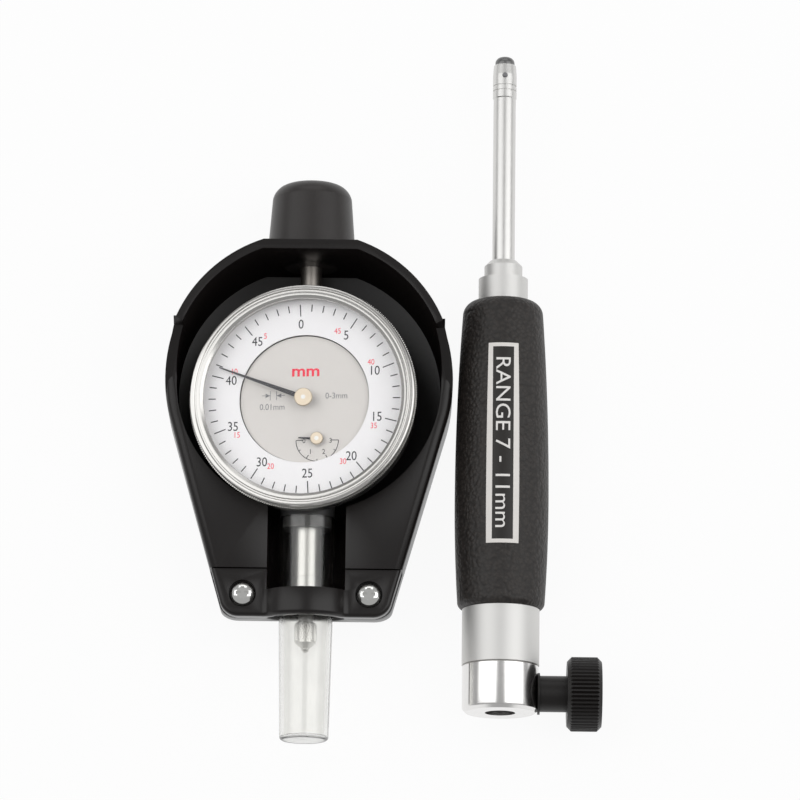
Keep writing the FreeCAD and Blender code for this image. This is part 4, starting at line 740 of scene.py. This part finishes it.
# a flat ring or arc, in mm, degrees clockwise from twelve o'clock
def ringMesh(radius, width, thickness, fromDegrees, toDegrees, steps):
    def spots(distance, order):
        return [(distance * math.sin(math.radians(a)), distance * math.cos(math.radians(a))) for a in order]
    angles = [fromDegrees + (toDegrees - fromDegrees) * step / steps for step in range(steps + 1)]
    quads = []
    for first, second in zip(angles, angles[1:]):
        quads.append(spots(radius + width / 2, (first, second)) + spots(radius - width / 2, (second, first)))
    work = bmesh.new()
    for corners in quads:
        work.faces.new([work.verts.new((x * mm, y * mm, thickness * mm / 2)) for x, y in corners])
    bmesh.ops.remove_doubles(work, verts=work.verts, dist=1e-7)
    grown = bmesh.ops.extrude_face_region(work, geom=list(work.faces))
    for item in grown["geom"]:
        if isinstance(item, bmesh.types.BMVert):
            item.co.z -= thickness * mm
    bmesh.ops.recalc_face_normals(work, faces=work.faces)
    mesh = bpy.data.meshes.new("ring")
    work.to_mesh(mesh)
    work.free()
    return mesh


centrePrint = {
    "inkDepth": 0.02,
    "redWords": "mm",
    "redHeight": 2.2,
    "redAt": (0.2, 7.4),
    "leftWords": "0.01mm",
    "rightWords": "0-3mm",
    "wordHeight": 1.65,
    "leftAt": (-8.8, -2.0),
    "rightAt": (8.6, 0.9),
    "symbolAt": (-8.5, 1.1),
    "symbolReach": 3.1,
    "symbolGap": 0.85,
    "symbolHeight": 2.5,
    "arrowLength": 1.3,
    "arrowHalf": 0.6,
    "lineWidth": 0.16,
}
smallPrint = {
    "radius": 5.75,
    "lineWidth": 0.2,
    "endLine": 1.9,
    "longTick": 1.1,
    "shortTick": 0.6,
    "figureRadius": 3.6,
    "figureHeight": 1.35,
    "figures": 4,
    "arcSteps": 48,
    "endDrop": 0.1,
    "drop": -0.25,
}


def makeCentrePrints(setup):
    ink = setup["inkDepth"]
    lift = plateTop + ink * mm / 2
    flat = onDial(0, 0, lift)
    x, y = setup["symbolAt"]
    gap, reach, tall = setup["symbolGap"], setup["symbolReach"], setup["symbolHeight"] / 2
    pieces = []
    for side in (-1, 1):
        bar = x + side * gap
        pieces.append(barMesh(bar, y - tall, bar, y + tall, setup["lineWidth"], ink))
        pieces.append(barMesh(x + side * reach, y, bar, y, setup["lineWidth"], ink))
        back = bar + side * setup["arrowLength"]
        pieces.append(prismMesh([(bar, y), (back, y + setup["arrowHalf"]), (back, y - setup["arrowHalf"])], ink))
    for words, spot in ((setup["leftWords"], setup["leftAt"]), (setup["rightWords"], setup["rightAt"])):
        pieces.append(placed(wordMesh(words, setup["wordHeight"], ink, 0.9), Matrix.Translation(
            (spot[0] * mm, spot[1] * mm, 0))))
    finishPiece(placed(joinMeshes("unit_marks", pieces), flat), "unit_marks", "gauge", inkGrey)
    red = placed(wordMesh(setup["redWords"], setup["redHeight"], ink, 1.15, weight=0.02),
                 Matrix.Translation((setup["redAt"][0] * mm, setup["redAt"][1] * mm, 0)))
    finishPiece(placed(red, flat), "unit_word", "gauge", inkRed)


def makeSmallPrints(setup):
    ink = centrePrint["inkDepth"]
    local = turnDial.inverted() @ (smallPoint - dialPoint)
    x, y = local.x / mm, local.y / mm + setup["drop"]
    flat = onDial(x, y, plateTop + ink * mm / 2)
    radius, width = setup["radius"], setup["lineWidth"]
    pieces = [ringMesh(radius, width, ink, 90, 270, setup["arcSteps"])]
    for side in (-1, 1):
        pieces.append(barMesh(side * (radius - setup["endLine"]), 0, side * radius, 0, width, ink))
    figures = setup["figures"]
    for step in range(1, (figures - 1) * 2):
        spot = math.radians(90 + step * 90 / (figures - 1))
        inner = radius - (setup["shortTick"] if step % 2 else setup["longTick"])
        pieces.append(barMesh(inner * math.sin(spot), inner * math.cos(spot),
                              radius * math.sin(spot), radius * math.cos(spot), width, ink))
    for figure in range(figures):
        spot = math.radians(270 - figure * 180 / (figures - 1))
        drop = setup["endDrop"] if figure in (0, figures - 1) else 0.0
        away = setup["figureRadius"]
        pieces.append(placed(wordMesh(str(figure), setup["figureHeight"], ink, 0.9), Matrix.Translation(
            (away * math.sin(spot) * mm, (away * math.cos(spot) - drop) * mm, 0))))
    finishPiece(placed(joinMeshes("turn_counter_marks", pieces), flat), "turn_counter_marks", "gauge",
                inkBlack)


makeScalePrints(scalePrint)
makeCentrePrints(centrePrint)
makeSmallPrints(smallPrint)
print("dial printed")



# a closed outline of radius and height in mm, turned about the local Z axis and then placed
def spinMesh(name, profile, stand, steps):
    work = bmesh.new()
    rings = []
    for step in range(steps):
        turn = math.tau * step / steps
        rings.append([work.verts.new((r * mm * math.cos(turn), r * mm * math.sin(turn), z * mm))
                      for r, z in profile])
    for step in range(steps):
        first, second = rings[step], rings[(step + 1) % steps]
        for index in range(len(profile)):
            after = (index + 1) % len(profile)
            work.faces.new((first[index], first[after], second[after], second[index]))
    bmesh.ops.transform(work, verts=work.verts, matrix=stand)
    bmesh.ops.recalc_face_normals(work, faces=work.faces)
    return smoothed(work, name)


# smooth shading that stops at sharp edges
def smoothed(work, name, limit=28.0):
    for face in work.faces:
        face.smooth = True
    for edge in work.edges:
        edge.smooth = len(edge.link_faces) == 2 and edge.calc_face_angle(0.0) < math.radians(limit)
    mesh = bpy.data.meshes.new(name)
    work.to_mesh(mesh)
    work.free()
    return mesh


bezelSetup = {
    "frontRadius": 30.5,    # mm
    "coreRadius": 30.4,
    "steps": 240,
}


def makeBezelRing(setup):
    front, core = setup["frontRadius"], setup["coreRadius"]
    outline = [(27.4, 7.6), (core - 0.3, 7.6), (core, 7.9), (core, 12.1), (core - 0.3, 12.35), (core - 0.3, 12.65),
               (front - 0.12, 12.8), (front, 13.0), (front, 13.85), (front - 0.2, 14.2), (front - 0.6, 14.4),
               (front - 1.1, 14.4), (front - 1.3, 14.25), (front - 1.4, 13.95), (front - 1.75, 13.95),
               (front - 1.85, 14.2), (front - 2.1, 14.3), (front - 2.8, 14.25), (26.95, 13.75), (26.8, 13.45),
               (26.8, 13.41), (28.05, 13.41), (28.05, 12.2), (27.4, 12.2)]
    lowered = [(radius, height - knurlSetup["stemToDial"]) for radius, height in outline]
    ring = spinMesh("bezel_ring", lowered, onDial(0, 0, 0), setup["steps"])
    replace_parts(finishPiece(ring, "bezel_ring", "bezel_group", bezelPlate), "bezel")


collarSetup = {
    "chamfer": 1.0,         # mm
    "topChamfer": 0.45,
    "bore": 4.06,
    "length": 12.8,
    "slitTurn": -55.0,      # degrees from the front
    "slitWidth": 0.32,
}


def makeCollar(setup):
    low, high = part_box("clamp_collar")
    coreLow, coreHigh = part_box("handle_core")
    middle = (coreLow + coreHigh) / 2
    reach = (middle.x - low.x) / mm
    length, cut, lip = setup["length"], setup["chamfer"], setup["topChamfer"]
    outline = [(setup["bore"], 0), (reach - cut, 0), (reach - 0.15, cut * 0.8), (reach, cut + 0.3),
               (reach, length - lip), (reach - lip, length), (setup["bore"], length)]
    stand = Matrix.Translation((middle.x, low.y, middle.z)) @ Matrix.Rotation(math.radians(-90), 4, "X")
    shell = spinMesh("collar_shell", outline, stand, 128)
    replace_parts(finishPiece(shell, "collar_shell", "gauge", brightPlate), "clamp_collar")
    # painted shade: the slit is not cut, and a dark strip laid just proud of the collar's face stands for the
    # shade inside it
    slit = barMesh(0, cut + 0.3, 0, length - lip, setup["slitWidth"], 0.3)
    slit.transform(Matrix.Translation((middle.x, low.y, middle.z))
                   @ Matrix.Rotation(math.radians(setup["slitTurn"]), 4, "Y")
                   @ Matrix.Translation((0, 0, (reach - 0.13) * mm)))
    finishPiece(slit, "collar_slit", "gauge", slitShade)


shieldSetup = {
    "rimThinner": 1.2,      # mm
    "pocketRadius": 35.7,
    "pocketCentre": 5.0,
    "innerTop": 38.5,
    "hoodEnd": 18.8,        # from the stem's axis centre, along the shield
    "rampEnd": 6.2,
    "rampRise": 2.6,
    "stepLean": 1.8,
    "plateTop": 20.0,
    "hoodTop": 30.0,
    "lowerLift": 2.3,
    "barTop": 19.6,
    "lowerReach": 6.0,
    "wallBand": 1.0,
    "edgeRound": 0.45,
}


def mergedCopy(name):
    work = bmesh.new()
    work.from_mesh(nodes[name].data)
    bmesh.ops.remove_doubles(work, verts=work.verts, dist=2e-6)
    bmesh.ops.dissolve_limit(work, angle_limit=math.radians(1.0), verts=work.verts, edges=work.edges)
    return work


# the front face leans back towards the base, so little of it shows from in front
def raiseLowerEnd(work, setup, bottom):
    for vertex in work.verts:
        near = min(1.0, max(0.0, (bottom + setup["lowerReach"] * mm - vertex.co.y) / (setup["lowerReach"] * mm)))
        height = min(1.0, max(0.0, vertex.co.z / (setup["barTop"] * mm)))
        vertex.co.y += setup["lowerLift"] * mm * (1 - height) * near


def roundedPiece(work, name, node, width):
    mesh = bpy.data.meshes.new(name)
    work.to_mesh(mesh)
    work.free()
    holder = bpy.data.objects.new("holder", mesh)
    bpy.context.scene.collection.objects.link(holder)
    bevel = holder.modifiers.new("rounds", "BEVEL")
    bevel.width = width * mm
    bevel.segments = 2
    bevel.limit_method = "ANGLE"
    bevel.angle_limit = math.radians(40)
    bpy.context.view_layer.update()
    done = bpy.data.meshes.new_from_object(holder.evaluated_get(bpy.context.evaluated_depsgraph_get()))
    bpy.data.objects.remove(holder)
    final = bmesh.new()
    final.from_mesh(done)
    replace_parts(finishPiece(smoothed(final, name), name, "gauge", shieldPlastic), node)


def makeShield(setup):
    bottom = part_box("shield_housing")[0].y
    centre = Vector(((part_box("shield_housing")[0].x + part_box("shield_housing")[1].x) / 2, dialPoint.y, 0))
    radius = setup["pocketRadius"] * mm
    work = mergedCopy("shield_housing")
    for vertex in work.verts:
        along = vertex.co.y - centre.y - setup["pocketCentre"] * mm
        out = vertex.co.x - centre.x
        span = math.hypot(out, along)
        inWall = abs(span - radius) < setup["wallBand"] * mm or (
            abs(vertex.co.y - centre.y - setup["innerTop"] * mm) < 0.3 * mm and abs(out) < radius)
        share = min(1.0, max(0.0, (vertex.co.y - centre.y - setup["rampEnd"] * mm)
                             / ((setup["hoodEnd"] - setup["rampEnd"]) * mm)))
        if inWall and vertex.co.z > (setup["plateTop"] - 0.3) * mm:
            vertex.co.x += out / span * setup["rimThinner"] * mm * share
            vertex.co.y += along / span * setup["rimThinner"] * mm * share
        atEnd = abs(vertex.co.y - centre.y - setup["hoodEnd"] * mm) < 0.4 * mm
        if atEnd and vertex.co.z > (setup["hoodTop"] - 0.5) * mm:
            vertex.co.y += setup["stepLean"] * mm
        elif atEnd and vertex.co.z > (setup["plateTop"] + 2) * mm:
            vertex.co.z += setup["rampRise"] * mm
    raiseLowerEnd(work, setup, bottom)
    roundedPiece(work, "shield_shell", "shield_housing", setup["edgeRound"])
    bar = mergedCopy("clamp_bar")
    raiseLowerEnd(bar, setup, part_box("clamp_bar")[0].y)
    roundedPiece(bar, "clamp_bridge", "clamp_bar", setup["edgeRound"])


knurlSetup = {
    "bezelTeeth": 308,
    "bezelTooth": 0.36,     # mm, half a tooth across its points
    "bezelRadius": 30.5,
    "bezelLow": 7.8,        # along the dial's axis from the stem's centre
    "bezelHigh": 12.2,
    "stemToDial": 10.0,
}


def makeBezelKnurl(setup):
    length = setup["bezelHigh"] - setup["bezelLow"]
    middle = (setup["bezelHigh"] + setup["bezelLow"]) / 2 - setup["stemToDial"]
    knurl = runTree(toothTree, {
        "Round": setup["bezelTeeth"], "Rows": 1, "Radius": setup["bezelRadius"] * mm,
        "Tooth": setup["bezelTooth"] * mm, "Pitch": 0.0, "Length": length * mm, "Stagger": 0.0}, bezelPlate)
    finishPiece(placed(knurl, onDial(0, 0, middle * mm)), "bezel_knurl", "bezel_group", bezelPlate)


tipSetup = {
    "round": 26,
    "rows": 9,
    "tooth": 0.32,
    "pitch": 0.5,
    "stagger": 0.5,
    "sink": 0.12,
    "bodyShare": 0.98,
    "startBelow": 0.4,
    "toothShare": 0.8,      # of the pitch
}


# cross knurl on the contact point's body
def makeTipKnurl(setup):
    low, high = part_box("contact_point")
    radius = (high.x - low.x) / 2
    middle = (low + high) / 2
    knurl = runTree(toothTree, {
        "Round": setup["round"], "Rows": setup["rows"], "Radius": radius - setup["sink"] * mm,
        "Tooth": setup["tooth"] * mm, "Pitch": setup["pitch"] * mm,
        "Length": setup["pitch"] * setup["toothShare"] * mm, "Stagger": setup["stagger"]}, groundSteel)
    bodyVertices = [v.co.y for v in nodes["contact_point"].data.vertices
                    if math.hypot(v.co.x - middle.x, v.co.z - middle.z) > radius * setup["bodyShare"]]
    start = max(bodyVertices) - setup["startBelow"] * mm
    stand = Matrix.Translation((middle.x, start, middle.z)) @ Matrix.Rotation(math.radians(90), 4, "X")
    finishPiece(placed(knurl, stand), "contact_knurl", "plunger", groundSteel)


# white lettering that follows the label's curved face and reads towards the lower end
def makeLabelWords(setup):
    low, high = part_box("label_plate")
    middle = (low + high) / 2
    words = wordMesh(setup["words"], setup["wordHeight"], 0.02, span=setup["wordSpan"])
    work = bmesh.new()
    work.from_mesh(words)
    step = setup["cutStep"] * mm
    lines = int(setup["wordHeight"] * mm / step)
    for index in range(-lines, lines + 1):
        bmesh.ops.bisect_plane(work, geom=work.verts[:] + work.edges[:] + work.faces[:],
                               plane_co=(0, index * step, 0), plane_no=(0, 1, 0))
    columns = int(setup["wordSpan"] / 2)
    for index in range(-columns, columns + 1):
        bmesh.ops.bisect_plane(work, geom=work.verts[:] + work.edges[:] + work.faces[:],
                               plane_co=(index * mm, 0, 0), plane_no=(1, 0, 0))
    bmesh.ops.transform(work, verts=work.verts, matrix=Matrix.Translation((middle.x, middle.y, 0))
                        @ Matrix.Rotation(math.radians(-90), 4, "Z"))
    plate = BVHTree.FromPolygons([v.co for v in nodes["label_plate"].data.vertices],
                                 [p.vertices for p in nodes["label_plate"].data.polygons])
    for vertex in work.verts:
        spot = plate.ray_cast(Vector((vertex.co.x, vertex.co.y, 1)), Vector((0, 0, -1)))[0]
        vertex.co.z += spot.z + setup["lift"] * mm
    mesh = bpy.data.meshes.new("label_words")
    work.to_mesh(mesh)
    work.free()
    finishPiece(mesh, "label_words", "gauge", inkWhite)


makeBezelRing(bezelSetup)
makeBezelKnurl(knurlSetup)
makeCollar(collarSetup)
makeShield(shieldSetup)
makeTipKnurl(tipSetup)
makeLabelWords(labelSetup)
print("knurls and label made")
